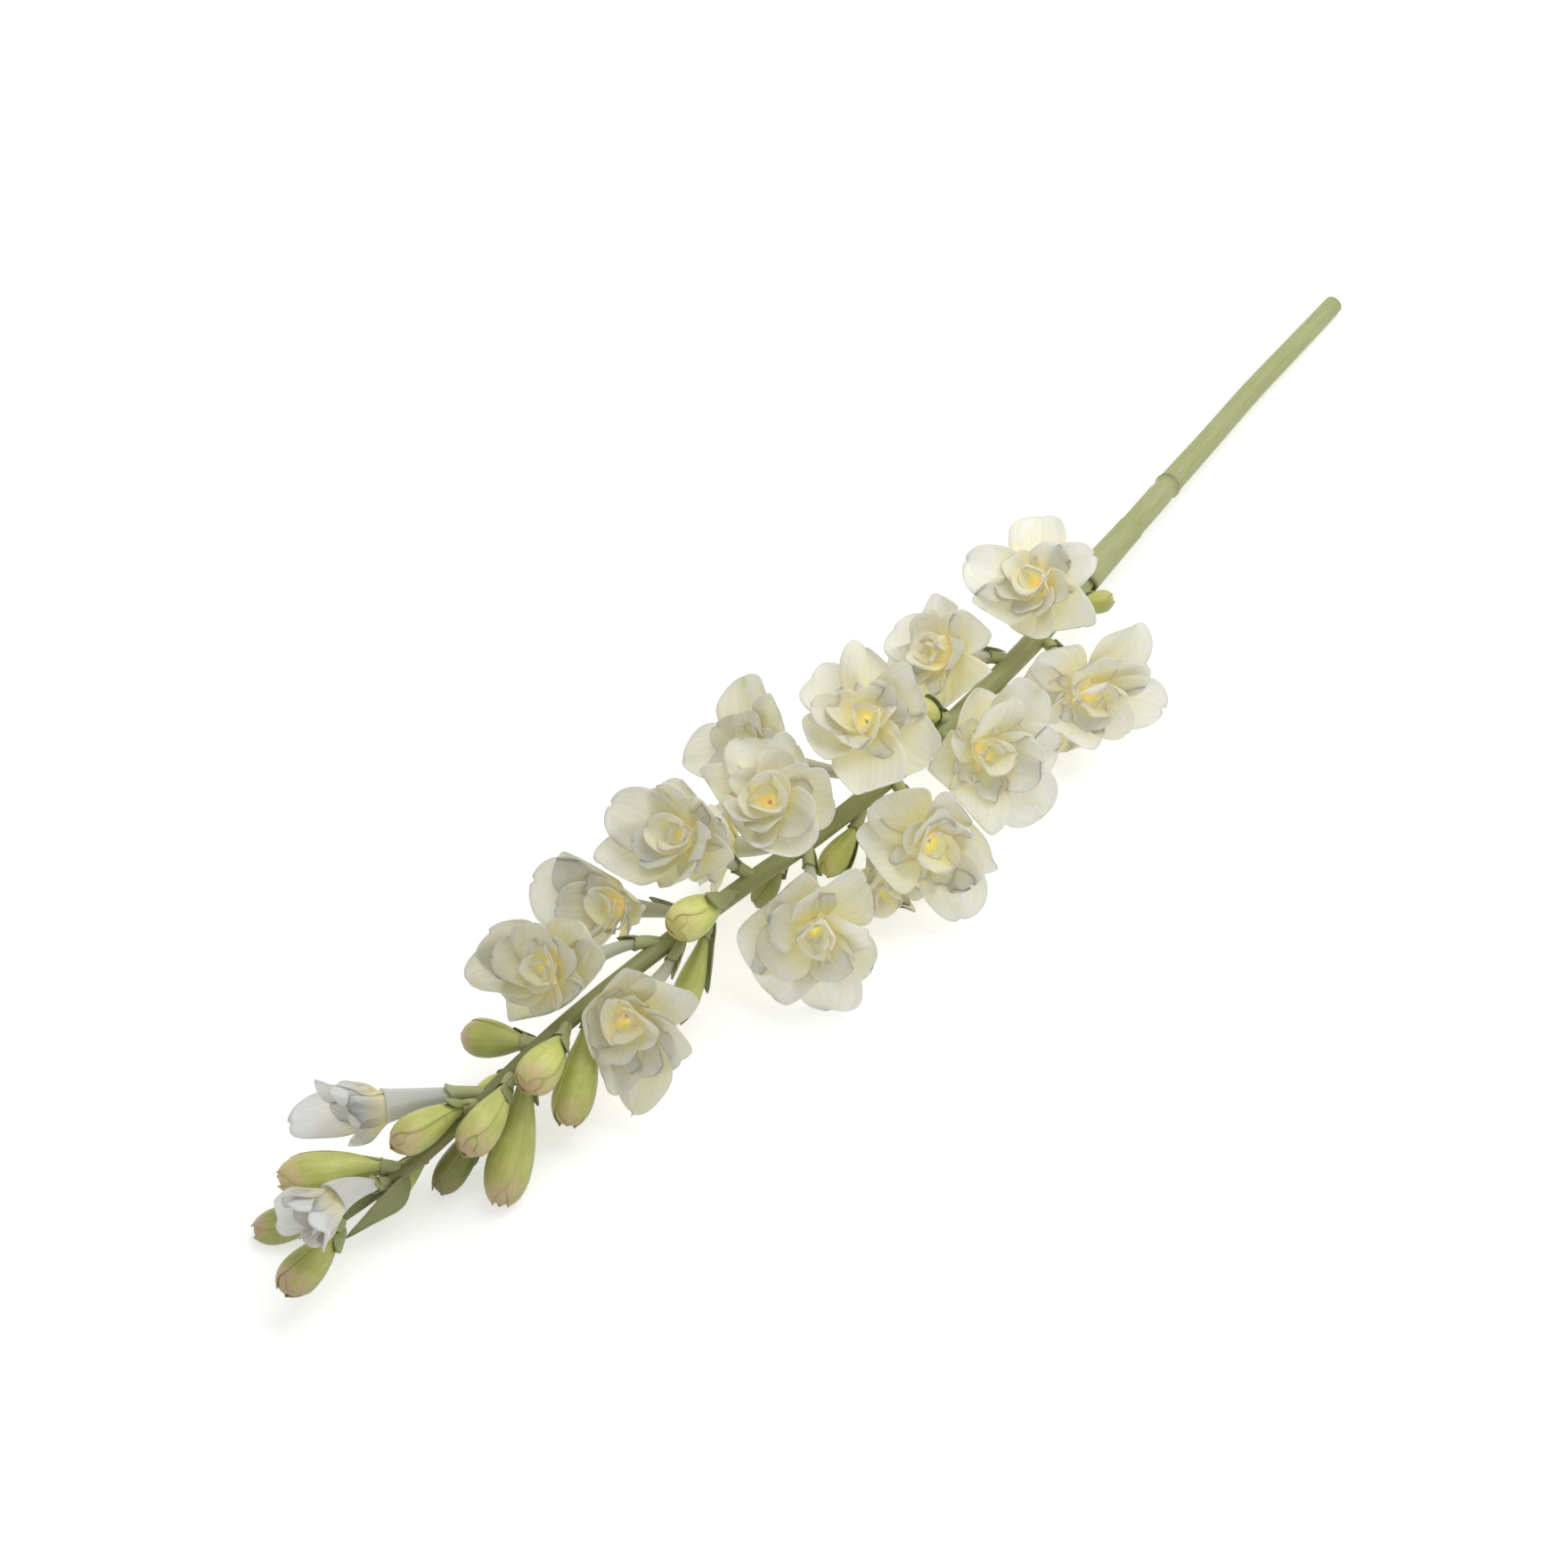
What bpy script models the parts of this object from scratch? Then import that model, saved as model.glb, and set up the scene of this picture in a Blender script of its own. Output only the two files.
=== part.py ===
# Tuberose flower stem, cut and lying on a surface.
# The spike points to -X and the cut end to +X. Tables are in millimetres and degrees.
import bpy
import bmesh
import math
import numpy as np
from mathutils import Vector

MM = 0.001
CENTRE = (36.1, -39.8)          # middle of the stem's outline on the surface
BLADE = 0.8                     # thickness of petals and bracts
BRACT_GAP = 0.9                 # room between a floret and its bract
SEAM = 0.3                      # gap between a floret and the stem that carries it
CLEAR = 0.35                    # half of the gap kept between two neighbours
NEAR = 110                      # florets further apart than this can't meet

# Stem: x, y, z of its middle line and its radius, from the cut end to the tip
STEM_LINE = (
    (401, -16, 4.1, 4.6), (360, -19, 6.2, 4.9), (320, -22, 8.5, 5.1), (281, -26, 10.5, 5.3),
    (241, -30, 13, 5.7), (205, -34, 15.5, 5.8), (168, -38, 18.5, 6.1), (140, -42, 21, 5.2),
    (109, -46, 24, 4.9), (49, -49.5, 29.5, 4.6), (0, -49, 33, 4.3), (-41, -46, 35, 4.1),
    (-69, -42, 36, 4.0), (-99, -38, 36, 3.9), (-141, -33, 35.5, 3.8), (-179, -29, 33.5, 3.6),
    (-222, -25.4, 27, 3.3), (-249.7, -22.8, 22, 3.0), (-275, -17.8, 18, 2.6), (-294, -13.8, 15.5, 2.0),
)
STEM_SIDES = 9
SAMPLES = 24                    # samples of the line between two rows of the table
STEM_STEP = 24                  # distance between two rings of the stem's skin
NODE_AT = 161                   # joint on the bare stem
SHEATH_END = 238                # the sheath ends here in an open rim
SHEATH_WALL = 1.2

# Bracts: length of the green blade below a floret, 11 where the table names none
BRACT_LENGTH = 11
LONG_BRACTS = {
    "bloom_03": 20, "bloom_04": 14, "bloom_13": 9, "bloom_15": 10, "bud_03": 30, "bud_05": 18,
    "bud_06": 26, "bud_12": 24, "bud_17": 34, "bloom_10": 18, "bud_09": 14, "bud_02": 14,
}

# Blooms: station from the cut end, azimuth and elevation of the tube, reach of the tube,
# azimuth and elevation that the mouth faces, then turn, lean and length of six outer petals
BLOOMS = {
    "bloom_01": (264, -177, 63, 36, 170, 55,
                 ((30, 70, 25), (88, 98, 26), (140, 86, 24), (190, 60, 22), (247, 65, 27), (315, 95, 27))),
    "bloom_02": (280, -116, 9, 44, -126, 26,
                 ((41, 92, 32), (112, 78, 29), (168, 92, 25), (222, 62, 24), (272, 98, 26), (322, 90, 23))),
    "bloom_03": (302, 147, 27, 36, 151, 33,
                 ((14, 90, 23), (96, 100, 30), (145, 76, 23), (197, 60, 24), (250, 68, 24), (305, 90, 24))),
    "bloom_04": (390, 140, 70, 38, -167, 64,
                 ((40, 72, 26), (98, 96, 29), (155, 78, 26), (222, 72, 27), (285, 90, 28), (343, 85, 29))),
    "bloom_05": (360, -106, 29, 34, -110, 35,
                 ((8, 94, 32), (62, 78, 32), (112, 80, 28), (160, 64, 32), (220, 64, 23), (285, 85, 22))),
    "bloom_06": (392, -119, 2, 40, -122, 26,
                 ((40, 75, 23), (112, 85, 30), (172, 66, 30), (215, 88, 23), (272, 80, 25), (332, 90, 22))),
    "bloom_07": (449, 145, 69, 36, -156, 63,
                 ((13, 96, 25), (76, 74, 28), (145, 72, 25), (210, 66, 26), (270, 95, 28), (322, 100, 25))),
    "bloom_08": (397, 121, 8, 54, 138, 31,
                 ((0, 75, 26), (55, 82, 24), (105, 80, 22), (155, 55, 26), (205, 46, 31), (290, 66, 29))),
    "bloom_09": (474, 133, 44, 38, 161, 49,
                 ((24, 70, 25), (80, 86, 24), (138, 70, 24), (198, 60, 32), (252, 55, 30), (305, 88, 23))),
    "bloom_10": (503, 125, 5, 34, 147, 31,
                 ((35, 80, 20), (85, 74, 20), (142, 60, 22), (196, 54, 26), (238, 45, 35), (278, 46, 29))),
    "bloom_11": (524, 157, 15, 52, 166, 42,
                 ((4, 76, 27), (52, 88, 26), (110, 90, 25), (167, 90, 31), (215, 56, 31), (270, 60, 31))),
    "bloom_12": (515, -167, 1, 48, -147, 33,
                 ((359, 71, 23), (52, 68, 26), (115, 66, 28), (170, 80, 38), (208, 70, 34), (276, 66, 28))),
    "bloom_13": (445, -137, -5, 42, -141, 22,
                 ((45, 86, 29), (125, 90, 29), (171, 78, 32), (217, 70, 31), (270, 88, 32), (325, 80, 24))),
    "bloom_14": (402, -140, -38, 38, -128, -2,
                 ((0, 70, 22), (70, 75, 22), (135, 75, 24), (172, 60, 25), (225, 66, 25), (290, 75, 22))),
    "bloom_15": (621, 141, 5, 42, 147, 10,
                 ((8, 48, 25), (62, 32, 24), (120, 36, 24), (178, 48, 25), (236, 24, 35), (302, 33, 27))),
    "bloom_16": (674, 178, 35, 34, 176, 4,
                 ((350, 20, 18), (50, 22, 19), (115, 24, 18), (180, 28, 20), (240, 26, 20), (300, 20, 18))),
    "bloom_17": (446, 112, -22, 36, 122, 8,
                 ((10, 75, 24), (70, 82, 24), (130, 84, 25), (190, 80, 24), (250, 78, 25), (310, 80, 24))),
    "bloom_18": (318, -80, -35, 30, -120, 8,
                 ((355, 76, 22), (308, 80, 25), (255, 84, 24), (190, 85, 22), (140, 86, 24), (70, 76, 24))),
}

# Buds: station, azimuth, elevation, length from the stem's middle, width
BUDS = {
    "bud_01": (350, 158, 42, 28, 14),
    "bud_02": (266, -41, 15, 27, 10),
    "bud_03": (411, -167, -15, 38, 12),
    "bud_04": (456, 150, -62, 30, 10),
    "bud_05": (487, -178, 23, 41, 17.5),
    "bud_06": (500, -158, -25, 48, 12),
    "bud_07": (592, 109, -17, 36, 16),
    "bud_08": (578, -161, 9, 40, 17),
    "bud_09": (565, -152, -27, 51, 17),
    "bud_10": (609, -160, 9, 46, 16),
    "bud_11": (601, -151, -29, 59, 18.5),
    "bud_12": (620, -174, -33, 45, 13),
    "bud_13": (627, 172, 17, 44, 15.5),
    "bud_14": (666, 136, 3, 50, 17.5),
    "bud_15": (690, 132, -20, 44, 14.5),
    "bud_16": (697, -170, 2, 40, 16),
    "bud_17": (648, 160, -34, 36, 13),
    "bud_18": (603, 140, -45, 26, 8.5),
}

# Corolla
TUBE_SIDES = 8
TUBE_RINGS = 4
ROOT_R = 2.3                    # radius of a floret's base at its seat
THROAT_R = 5.2                  # radius of a bloom's tube at its mouth
WIDE_THROATS = {"bloom_15": 7.4, "bloom_16": 7.2}
PETAL_RING = 3.4                # radius of the ring that the outer petals are rooted on
PETAL_SINK = 2.6                # how far below the mouth the outer petals are rooted
PETAL_STRETCH = 1.08            # length of an outer petal as made, against the table's
INWARD_STRETCH = 0.22           # what one that reaches back over the stem is longer by
PETAL_SPREAD = 0.7              # width of an outer petal as a share of its length, plus 1
MIDDLE_PETALS = 3
INNER_PETALS = 2
TILT = 0.22                     # one edge of a petal lies over its neighbour, the other under
EASE = 1.5                      # roundness of the bend where a petal meets a neighbour's room
ROUND_ROWS = (0, 0.42, 0.9)     # rows across a petal, as shares of its length
POINTED_ROWS = (0, 0.5, 1)

# Resting and fusing
FLOOR = (np.array((0.0, 0.0, -1.0)), 0.0)
PEG_SIDES = 5                   # the stem's stub below each floret
PEG_CUP = 0.9                   # how far the stub is wider than the floret's base
BUD_SHARES = (0, 0.2, 0.4, 0.6, 0.78, 0.9, 0.97, 1)
SHARP_ANGLE = 50

# Colours as linear values, sorted by the names that use them
PETAL_CREAM = (0.80, 0.78, 0.62)
PETAL_WHITE = (0.78, 0.79, 0.74)
BUD_GREEN = (0.40, 0.44, 0.15)
BUD_BRIGHT = (0.56, 0.58, 0.24)
BUD_DARK = (0.13, 0.13, 0.03)
BUD_PALE = (0.62, 0.62, 0.46)
STEM_GREEN = (0.40, 0.45, 0.19)
WHITE_BLOOMS = ("bloom_15", "bloom_16")
BUD_COLOURS = {
    "bud_04": BUD_DARK, "bud_05": BUD_BRIGHT, "bud_07": BUD_DARK, "bud_12": BUD_DARK,
    "bud_15": BUD_DARK, "bud_18": BUD_PALE,
}


def remove_everything():
    for obj in list(bpy.data.objects):
        bpy.data.objects.remove(obj, do_unlink=True)
    for mesh in list(bpy.data.meshes):
        bpy.data.meshes.remove(mesh)
    for mat in list(bpy.data.materials):
        bpy.data.materials.remove(mat)


def unit(v):
    return v / np.linalg.norm(v)


def heading(azimuth, elevation):
    a = math.radians(azimuth)
    e = math.radians(elevation)
    return np.array((math.cos(a) * math.cos(e), math.sin(a) * math.cos(e), math.sin(e)))


def smooth_line(rows, samples):
    # Catmull-Rom curve through the rows of a table
    p = np.array(rows, float)
    p = np.vstack((2 * p[0] - p[1], p, 2 * p[-1] - p[-2]))
    out = []
    for i in range(1, len(p) - 2):
        for t in np.arange(samples) / samples:
            a, b, c, d = p[i - 1], p[i], p[i + 1], p[i + 2]
            out.append(b + 0.5 * t * (c - a + t * (2 * a - 5 * b + 4 * c - d + t * (3 * (b - c) + d - a))))
    out.append(p[-2])
    return np.array(out)


class Stem:
    def __init__(self):
        line = smooth_line(STEM_LINE, SAMPLES)
        line[:, 0] -= CENTRE[0]
        line[:, 1] -= CENTRE[1]
        self.line = line
        steps = np.linalg.norm(np.diff(line[:, :3], axis=0), axis=1)
        self.run = np.concatenate(((0.0,), np.cumsum(steps)))
        self.length = self.run[-1]

    def at(self, station):
        return np.array([np.interp(station, self.run, self.line[:, k]) for k in range(4)])

    def along(self, station):
        return unit(self.at(station + 2)[:3] - self.at(station - 2)[:3])


def side_frame(axis):
    # two directions across an axis, the first one as near to straight up as it can be
    up = np.array((0.0, 0.0, 1.0)) - axis[2] * axis
    if np.linalg.norm(up) < 0.05:
        up = np.array((1.0, 0.0, 0.0)) - axis[0] * axis
    up = unit(up)
    return up, np.cross(up, axis)


def bezier(a, b, c, d, count):
    t = np.linspace(0, 1, count)[:, None]
    return a * (1 - t) ** 3 + 3 * b * t * (1 - t) ** 2 + 3 * c * t * t * (1 - t) + d * t ** 3


class Floret:
    # a bloom or a bud: its axis runs from the stem's middle line out to its mouth or tip
    def __init__(self, stem, name, pose, face, girth):
        station, azimuth, elevation, reach = pose
        here = stem.at(station)
        aim = heading(azimuth, elevation)
        self.name = name
        self.girth = girth
        self.bract = LONG_BRACTS.get(name, BRACT_LENGTH)
        self.stem_radius = here[3]
        self.origin = here[:3]
        self.forward = stem.along(station)
        self.radial = unit(aim - self.forward * (aim @ self.forward))
        self.end = self.origin + aim * reach
        self.face = aim if face is None else heading(*face)
        spread = max(math.acos(np.clip(aim @ self.forward, -1, 1)), math.radians(50))
        self.start = self.forward * math.cos(spread) + self.radial * math.sin(spread)
        self.axis = bezier(self.origin, self.origin + self.start * reach * 0.35,
                           self.end - self.face * reach * 0.3, self.end, 41)
        steps = np.linalg.norm(np.diff(self.axis, axis=0), axis=1)
        self.runs = np.concatenate(((0.0,), np.cumsum(steps)))
        self.seat = self.stem_radius + 1.0
        while not self.off_the_stem():
            self.seat += 0.2

    def point(self, share):
        # share 0 is the seat on the stem and 1 is the mouth or tip
        run = self.seat + share * self.length()
        return np.array([np.interp(run, self.runs, self.axis[:, k]) for k in range(3)])

    def way(self, share):
        return unit(self.point(share + 0.02) - self.point(share - 0.02))

    def length(self):
        return self.runs[-1] - self.seat

    def seat_axis(self):
        return unit(self.point(0.02) - self.point(0))

    def line(self, shares):
        # points along the axis, the first one lifted off the stem by the seam
        points = [self.point(s) for s in shares]
        points[0] = points[0] + self.seat_axis() * SEAM
        return points

    def off_the_stem(self):
        # whether the first stretch of the floret's base stands clear of the stem's skin
        for share in (0, 0.1, 0.2):
            axis = unit(self.point(share + 0.02) - self.point(share))
            side = unit(np.cross(axis, self.forward))
            inward = np.cross(side, axis)
            for way in (inward, -inward, side, -side):
                p = self.point(share) + way * (ROOT_R + 0.2) - self.origin
                p = p - self.forward * (p @ self.forward)
                if np.linalg.norm(p) < self.stem_radius + 0.3:
                    return False
        return True

    def room_round(self, points):
        # least distance between some points and the skin of the floret
        shares = np.linspace(0, 1, 31)
        spots = np.array([self.point(s) for s in shares])
        sizes = np.array([self.girth(s) for s in shares])
        away = np.linalg.norm(points[:, None] - spots[None], axis=2) - sizes
        away[(points - spots[0]) @ self.seat_axis() < -BLADE] = 99
        return away.min()

    def stiff_part(self, mouth):
        # spheres along the floret that no neighbour's petals may enter
        bract_share = self.bract / self.length()
        spots = []
        sizes = []
        for share in np.linspace(0, 1, 11):
            spots.append(self.point(share))
            wrap = BRACT_GAP + BLADE if share < bract_share else 0.3
            sizes.append(self.girth(share) + wrap)
        for ahead, size in mouth:
            spots.append(self.end + self.face * ahead)
            sizes.append(size)
        return np.array(spots), np.array(sizes)


def bud_radius(share, width):
    # slim neck, widest at seven tenths, round tip
    neck = 0.32 + 0.68 * math.sin(math.pi / 2 * min(share / 0.7, 1.0)) ** 1.35
    cap = math.sqrt(max(1 - max((share - 0.72) / 0.29, 0) ** 2, 0.0))
    return width / 2 * neck * cap


def tube_radius(share, throat=THROAT_R):
    return ROOT_R + (throat - ROOT_R) * share ** 1.3


def even_directions(count):
    # unit vectors spread evenly over a sphere
    k = np.arange(count)
    z = 1 - (2 * k + 1) / count
    turn = k * math.pi * (3 - math.sqrt(5))
    ring = np.sqrt(1 - z * z)
    return np.stack((ring * np.cos(turn), ring * np.sin(turn), z), axis=1)


def parting_planes(florets, keep, want):
    # one plane for each pair of near neighbours, which both stay clear of: it misses the
    # stiff spheres of both and takes as little as it can from the points their petals want
    normals = even_directions(700)
    planes = {f.name: [] for f in florets}
    for i, a in enumerate(florets):
        for b in florets[i + 1:]:
            spots_a, sizes_a = keep[a.name]
            spots_b, sizes_b = keep[b.name]
            middle_a = np.vstack((spots_a, want[a.name])).mean(0)
            middle_b = np.vstack((spots_b, want[b.name])).mean(0)
            if np.linalg.norm(middle_a - middle_b) > NEAR:
                continue
            high_a = (normals @ spots_a.T + sizes_a).max(1)
            room = (normals @ spots_b.T - sizes_b).min(1) - high_a
            best = None
            for share in (0.1, 0.3, 0.5, 0.7, 0.9):
                level = high_a + share * room
                over_a = np.clip(normals @ want[a.name].T - level[:, None], 0, None)
                over_b = np.clip(level[:, None] - normals @ want[b.name].T, 0, None)
                cost = (over_a ** 2).sum(1) + (over_b ** 2).sum(1) - 0.5 * np.minimum(room, 4)
                cost = cost + np.where(room < 2 * CLEAR, 1e6 - 1e3 * room, 0)
                n = int(np.argmin(cost))
                if best is None or cost[n] < best[0]:
                    best = (cost[n], normals[n], level[n])
            planes[a.name].append((best[1], best[2]))
            planes[b.name].append((-best[1], -best[2]))
    return planes


def hold_back(points, planes, margin, ease):
    # bend points smoothly to the near side of each plane; the planes close a convex room
    out = points.copy()
    for _ in range(3):
        for normal, level in planes:
            room = level - margin - out @ normal
            soft = np.where(room > 6 * ease, room, ease * np.log1p(np.exp(np.clip(room / ease, -40, 40))))
            out = out + (room - soft)[:, None] * normal
    return out


def petal_width(share):
    # narrow claw, widest at the middle, rounded end
    if share < 0.5:
        return 0.2 + 0.8 * math.sin(math.pi * share)
    return math.sqrt(1 - ((share - 0.5) / 0.5) ** 2.6)


def petal_sheet(root, face, radial, lean, length, width, arch, cup, wave, rows):
    # middle surface of a petal: a point at its root, then rows of three points; a last row
    # at share 1 is a point too, and otherwise its middle point is drawn out to the tip
    side = np.cross(face, radial)
    sheet = []
    for r, share in enumerate(rows):
        at = root + arc_offset(face, radial, lean, arch, share) * length
        angle = math.radians(lean + arch * (share - 0.5))
        normal = face * math.sin(angle) - radial * math.cos(angle)
        if share in (0, 1):
            sheet.append([at])
            continue
        half = width / 2 * petal_width(share)
        row = []
        for u in (-1, 0, 1):
            lift = cup * half * u * u + TILT * half * u + wave * share * u * (1 if r % 2 else -1)
            row.append(at + side * half * u + normal * lift)
        sheet.append(row)
    if len(sheet[-1]) > 1:
        sheet[-1][1] = root + arc_offset(face, radial, lean, arch, 1.0) * length
    return sheet


def arc_offset(face, radial, lean, arch, share):
    # way along an arc whose lean grows by arch from root to tip
    out = np.zeros(3)
    steps = 12
    for k in range(steps):
        w = share * (k + 0.5) / steps
        angle = math.radians(lean + arch * (w - 0.5))
        out = out + (face * math.cos(angle) + radial * math.sin(angle)) * share / steps
    return out


def sheet_faces(sheet):
    # triangles between the rows of a sheet, where a row of one point closes an end
    faces = []
    start = 0
    for a, b in zip(sheet, sheet[1:]):
        nxt = start + len(a)
        if len(a) == 1:
            faces += [(start, nxt + c + 1, nxt + c) for c in range(len(b) - 1)]
        elif len(b) == 1:
            faces += [(start + c, start + c + 1, nxt) for c in range(len(a) - 1)]
        else:
            for c in range(len(a) - 1):
                turn = 1 if c < (len(a) - 1) / 2 else 0
                faces.append((start + c, start + c + 1, nxt + c + turn))
                faces.append((start + c + 1 - turn, nxt + c + 1, nxt + c))
        start = nxt
    return faces


def blade_object(name, sheet, planes, ease):
    # a closed blade: the sheet is held back by the planes and the floor, then thickened
    # both ways over the same triangles
    flat = np.array([p for row in sheet for p in row])
    flat = hold_back(flat, planes, CLEAR + BLADE / 2, ease)
    flat = hold_back(flat, [FLOOR], 0, 0.3)
    faces = sheet_faces(sheet)
    normals = np.zeros_like(flat)
    for a, b, c in faces:
        n = np.cross(flat[b] - flat[a], flat[c] - flat[a])
        normals[[a, b, c]] += n / max(np.linalg.norm(n), 1e-9)
    normals /= np.maximum(np.linalg.norm(normals, axis=1), 1e-9)[:, None]
    bm = bmesh.new()
    top = [bm.verts.new(p * MM) for p in flat + normals * BLADE / 2]
    low = [bm.verts.new(p * MM) for p in flat - normals * BLADE / 2]
    edges = set()
    for f in faces:
        bm.faces.new([top[i] for i in f])
        bm.faces.new([low[i] for i in reversed(f)])
        edges.update(((f[0], f[1]), (f[1], f[2]), (f[2], f[0])))
    for i, j in sorted(edges):
        if (j, i) not in edges:
            bm.faces.new((top[j], top[i], low[i]))
            bm.faces.new((top[j], low[i], low[j]))
    return mesh_object(name, bm)


def mesh_object(name, bm):
    bmesh.ops.recalc_face_normals(bm, faces=bm.faces)
    mesh = bpy.data.meshes.new(name)
    bm.to_mesh(mesh)
    bm.free()
    obj = bpy.data.objects.new(name, mesh)
    bpy.context.scene.collection.objects.link(obj)
    return obj


def skin_object(name, points, radii, sides, axes=(), lobe=0.0):
    # a tube of changing radius round a line of points, closed at both ends; axes turns its
    # first rings, and lobe presses its far end into three rounded corners
    bm = bmesh.new()
    rings = []
    up = None
    last = len(points) - 1
    for i, p in enumerate(points):
        axis = axes[i] if i < len(axes) else unit(points[min(i + 1, last)] - points[max(i - 1, 0)])
        if up is None:
            up = side_frame(axis)[0]
        up = unit(up - axis * (up @ axis))
        side = np.cross(up, axis)
        ring = []
        for k in range(sides):
            a = 2 * math.pi * k / sides
            r = radii[i] * (1 - lobe * i / last * (1 - math.cos(3 * a)))
            ring.append(bm.verts.new((p + (up * math.cos(a) + side * math.sin(a)) * r) * MM))
        rings.append(ring)
    for a, b in zip(rings, rings[1:]):
        for k in range(sides):
            bm.faces.new((a[k], a[(k + 1) % sides], b[(k + 1) % sides], b[k]))
    bm.faces.new(rings[0])
    bm.faces.new(rings[-1])
    return mesh_object(name, bm)


def fuse(name, base, blades):
    # one union of the base with a collection of blades, applied
    group = bpy.data.collections.new(name + "_blades")
    bpy.context.scene.collection.children.link(group)
    for obj in blades:
        bpy.context.scene.collection.objects.unlink(obj)
        group.objects.link(obj)
    union = base.modifiers.new("union", "BOOLEAN")
    union.operation = "UNION"
    union.operand_type = "COLLECTION"
    union.collection = group
    union.solver = "MANIFOLD"
    bpy.context.view_layer.update()
    graph = bpy.context.evaluated_depsgraph_get()
    mesh = bpy.data.meshes.new_from_object(base.evaluated_get(graph))
    base.modifiers.clear()
    base.data = mesh
    for obj in blades:
        bpy.data.objects.remove(obj, do_unlink=True)
    bpy.data.collections.remove(group)
    keep_outer_shell(mesh)
    base.name = name
    mesh.name = name
    return base


def keep_outer_shell(mesh):
    # fill sealed hollows and drop loose scraps: only the largest shell stays
    bm = bmesh.new()
    bm.from_mesh(mesh)
    left = set(bm.verts)
    shells = []
    while left:
        seed = left.pop()
        shell = [seed]
        stack = [seed]
        while stack:
            for edge in stack.pop().link_edges:
                for v in edge.verts:
                    if v in left:
                        left.remove(v)
                        shell.append(v)
                        stack.append(v)
        shells.append(shell)
    shells.sort(key=len)
    for shell in shells[:-1]:
        bmesh.ops.delete(bm, geom=shell, context="VERTS")
    bm.to_mesh(mesh)
    bm.free()


def paint(obj, slot, colour, roughness):
    mat = bpy.data.materials.new(slot)
    mat.use_nodes = True
    shader = mat.node_tree.nodes["Principled BSDF"]
    shader.inputs["Base Color"].default_value = (*colour, 1)
    shader.inputs["Roughness"].default_value = roughness
    shader.inputs["Metallic"].default_value = 0.0
    obj.data.materials.clear()
    obj.data.materials.append(mat)


def shade(obj):
    obj.data.polygons.foreach_set("use_smooth", [True] * len(obj.data.polygons))
    obj.data.set_sharp_from_angle(angle=math.radians(SHARP_ANGLE))


def turned(face, degrees):
    # the direction across a face at an angle round it, measured from straight up
    up, side = side_frame(face)
    return up * math.cos(math.radians(degrees)) + side * math.sin(math.radians(degrees))


def bloom(floret, petals, planes, seed):
    # the tube, six outer petals from the table, then two whorls placed by a rule
    rng = np.random.default_rng(seed)
    shares = np.linspace(0, 1, TUBE_RINGS)
    tube = skin_object(floret.name, floret.line(shares), [floret.girth(s) for s in shares],
                       TUBE_SIDES, (floret.seat_axis(),))
    face = floret.face
    blades = []
    for k, (turn, lean, length) in enumerate(petals):
        radial = turned(face, turn)
        root = floret.end - face * (PETAL_SINK + 0.9 * (k % 2)) + radial * PETAL_RING
        made = length * (PETAL_STRETCH + INWARD_STRETCH * max(-(radial @ floret.radial), 0)) + 1
        width = PETAL_SPREAD * made + 1
        wave = 0.8 * rng.uniform(-1, 1)
        sheet = petal_sheet(root, face, radial, lean, made, width, 34, 0.2, wave, ROUND_ROWS)
        blades.append(blade_object("petal", sheet, planes, EASE))
    first = petals[0][0] + 30
    openness = np.mean([p[1] for p in petals]) / 80
    for k in range(MIDDLE_PETALS):
        radial = turned(face, first + 360 / MIDDLE_PETALS * k + rng.uniform(-8, 8))
        root = floret.end - face * 1.4 + radial * PETAL_RING * 0.75
        lean = 52 * openness + rng.uniform(-6, 6)
        length = 20 + rng.uniform(-1, 1)
        sheet = petal_sheet(root, face, radial, lean, length, 18, 30, 0.25, 0.8, ROUND_ROWS)
        blades.append(blade_object("petal", sheet, planes, EASE))
    for k in range(INNER_PETALS):
        radial = turned(face, first + 20 + 360 / INNER_PETALS * k + rng.uniform(-10, 10))
        root = floret.end - face * 1.0 + radial * PETAL_RING * 0.4
        lean = 20 * openness + rng.uniform(-5, 5)
        length = 14 + rng.uniform(-1, 1)
        sheet = petal_sheet(root, face, radial, lean, length, 9, 20, 0.35, 0.5, POINTED_ROWS)
        blades.append(blade_object("petal", sheet, planes, EASE))
    return fuse(floret.name, tube, blades)


def bud(floret):
    radii = [max(floret.girth(s), 0.9) for s in BUD_SHARES]
    radii[0] = ROOT_R
    return skin_object(floret.name, floret.line(BUD_SHARES), radii, TUBE_SIDES,
                       (floret.seat_axis(),), 0.06)


def bract_sheet(floret, share, slack):
    # a point sunk in the stem, one or two rows curled round the floret, and the tip
    rows = ((0.5, 42),) if share * floret.length() < 16 else ((0.3, 44), (0.64, 36))
    root = floret.origin + floret.radial * (floret.stem_radius - 0.8)
    sheet = [[root - floret.forward * (2.4 + slack)]]
    for t, wrap in rows + ((1, 0),):
        axis = floret.way(t * share)
        tail = unit(axis * (axis @ floret.forward) - floret.forward)
        side = np.cross(axis, tail)
        away = floret.girth(t * share) * 1.03 + BRACT_GAP + BLADE / 2 + slack
        row = []
        for c in (-1, 0, 1) if wrap else (0,):
            a = math.radians(wrap * c)
            row.append(floret.point(t * share) + (tail * math.cos(a) + side * math.sin(a)) * away)
        sheet.append(row)
    return sheet


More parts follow.
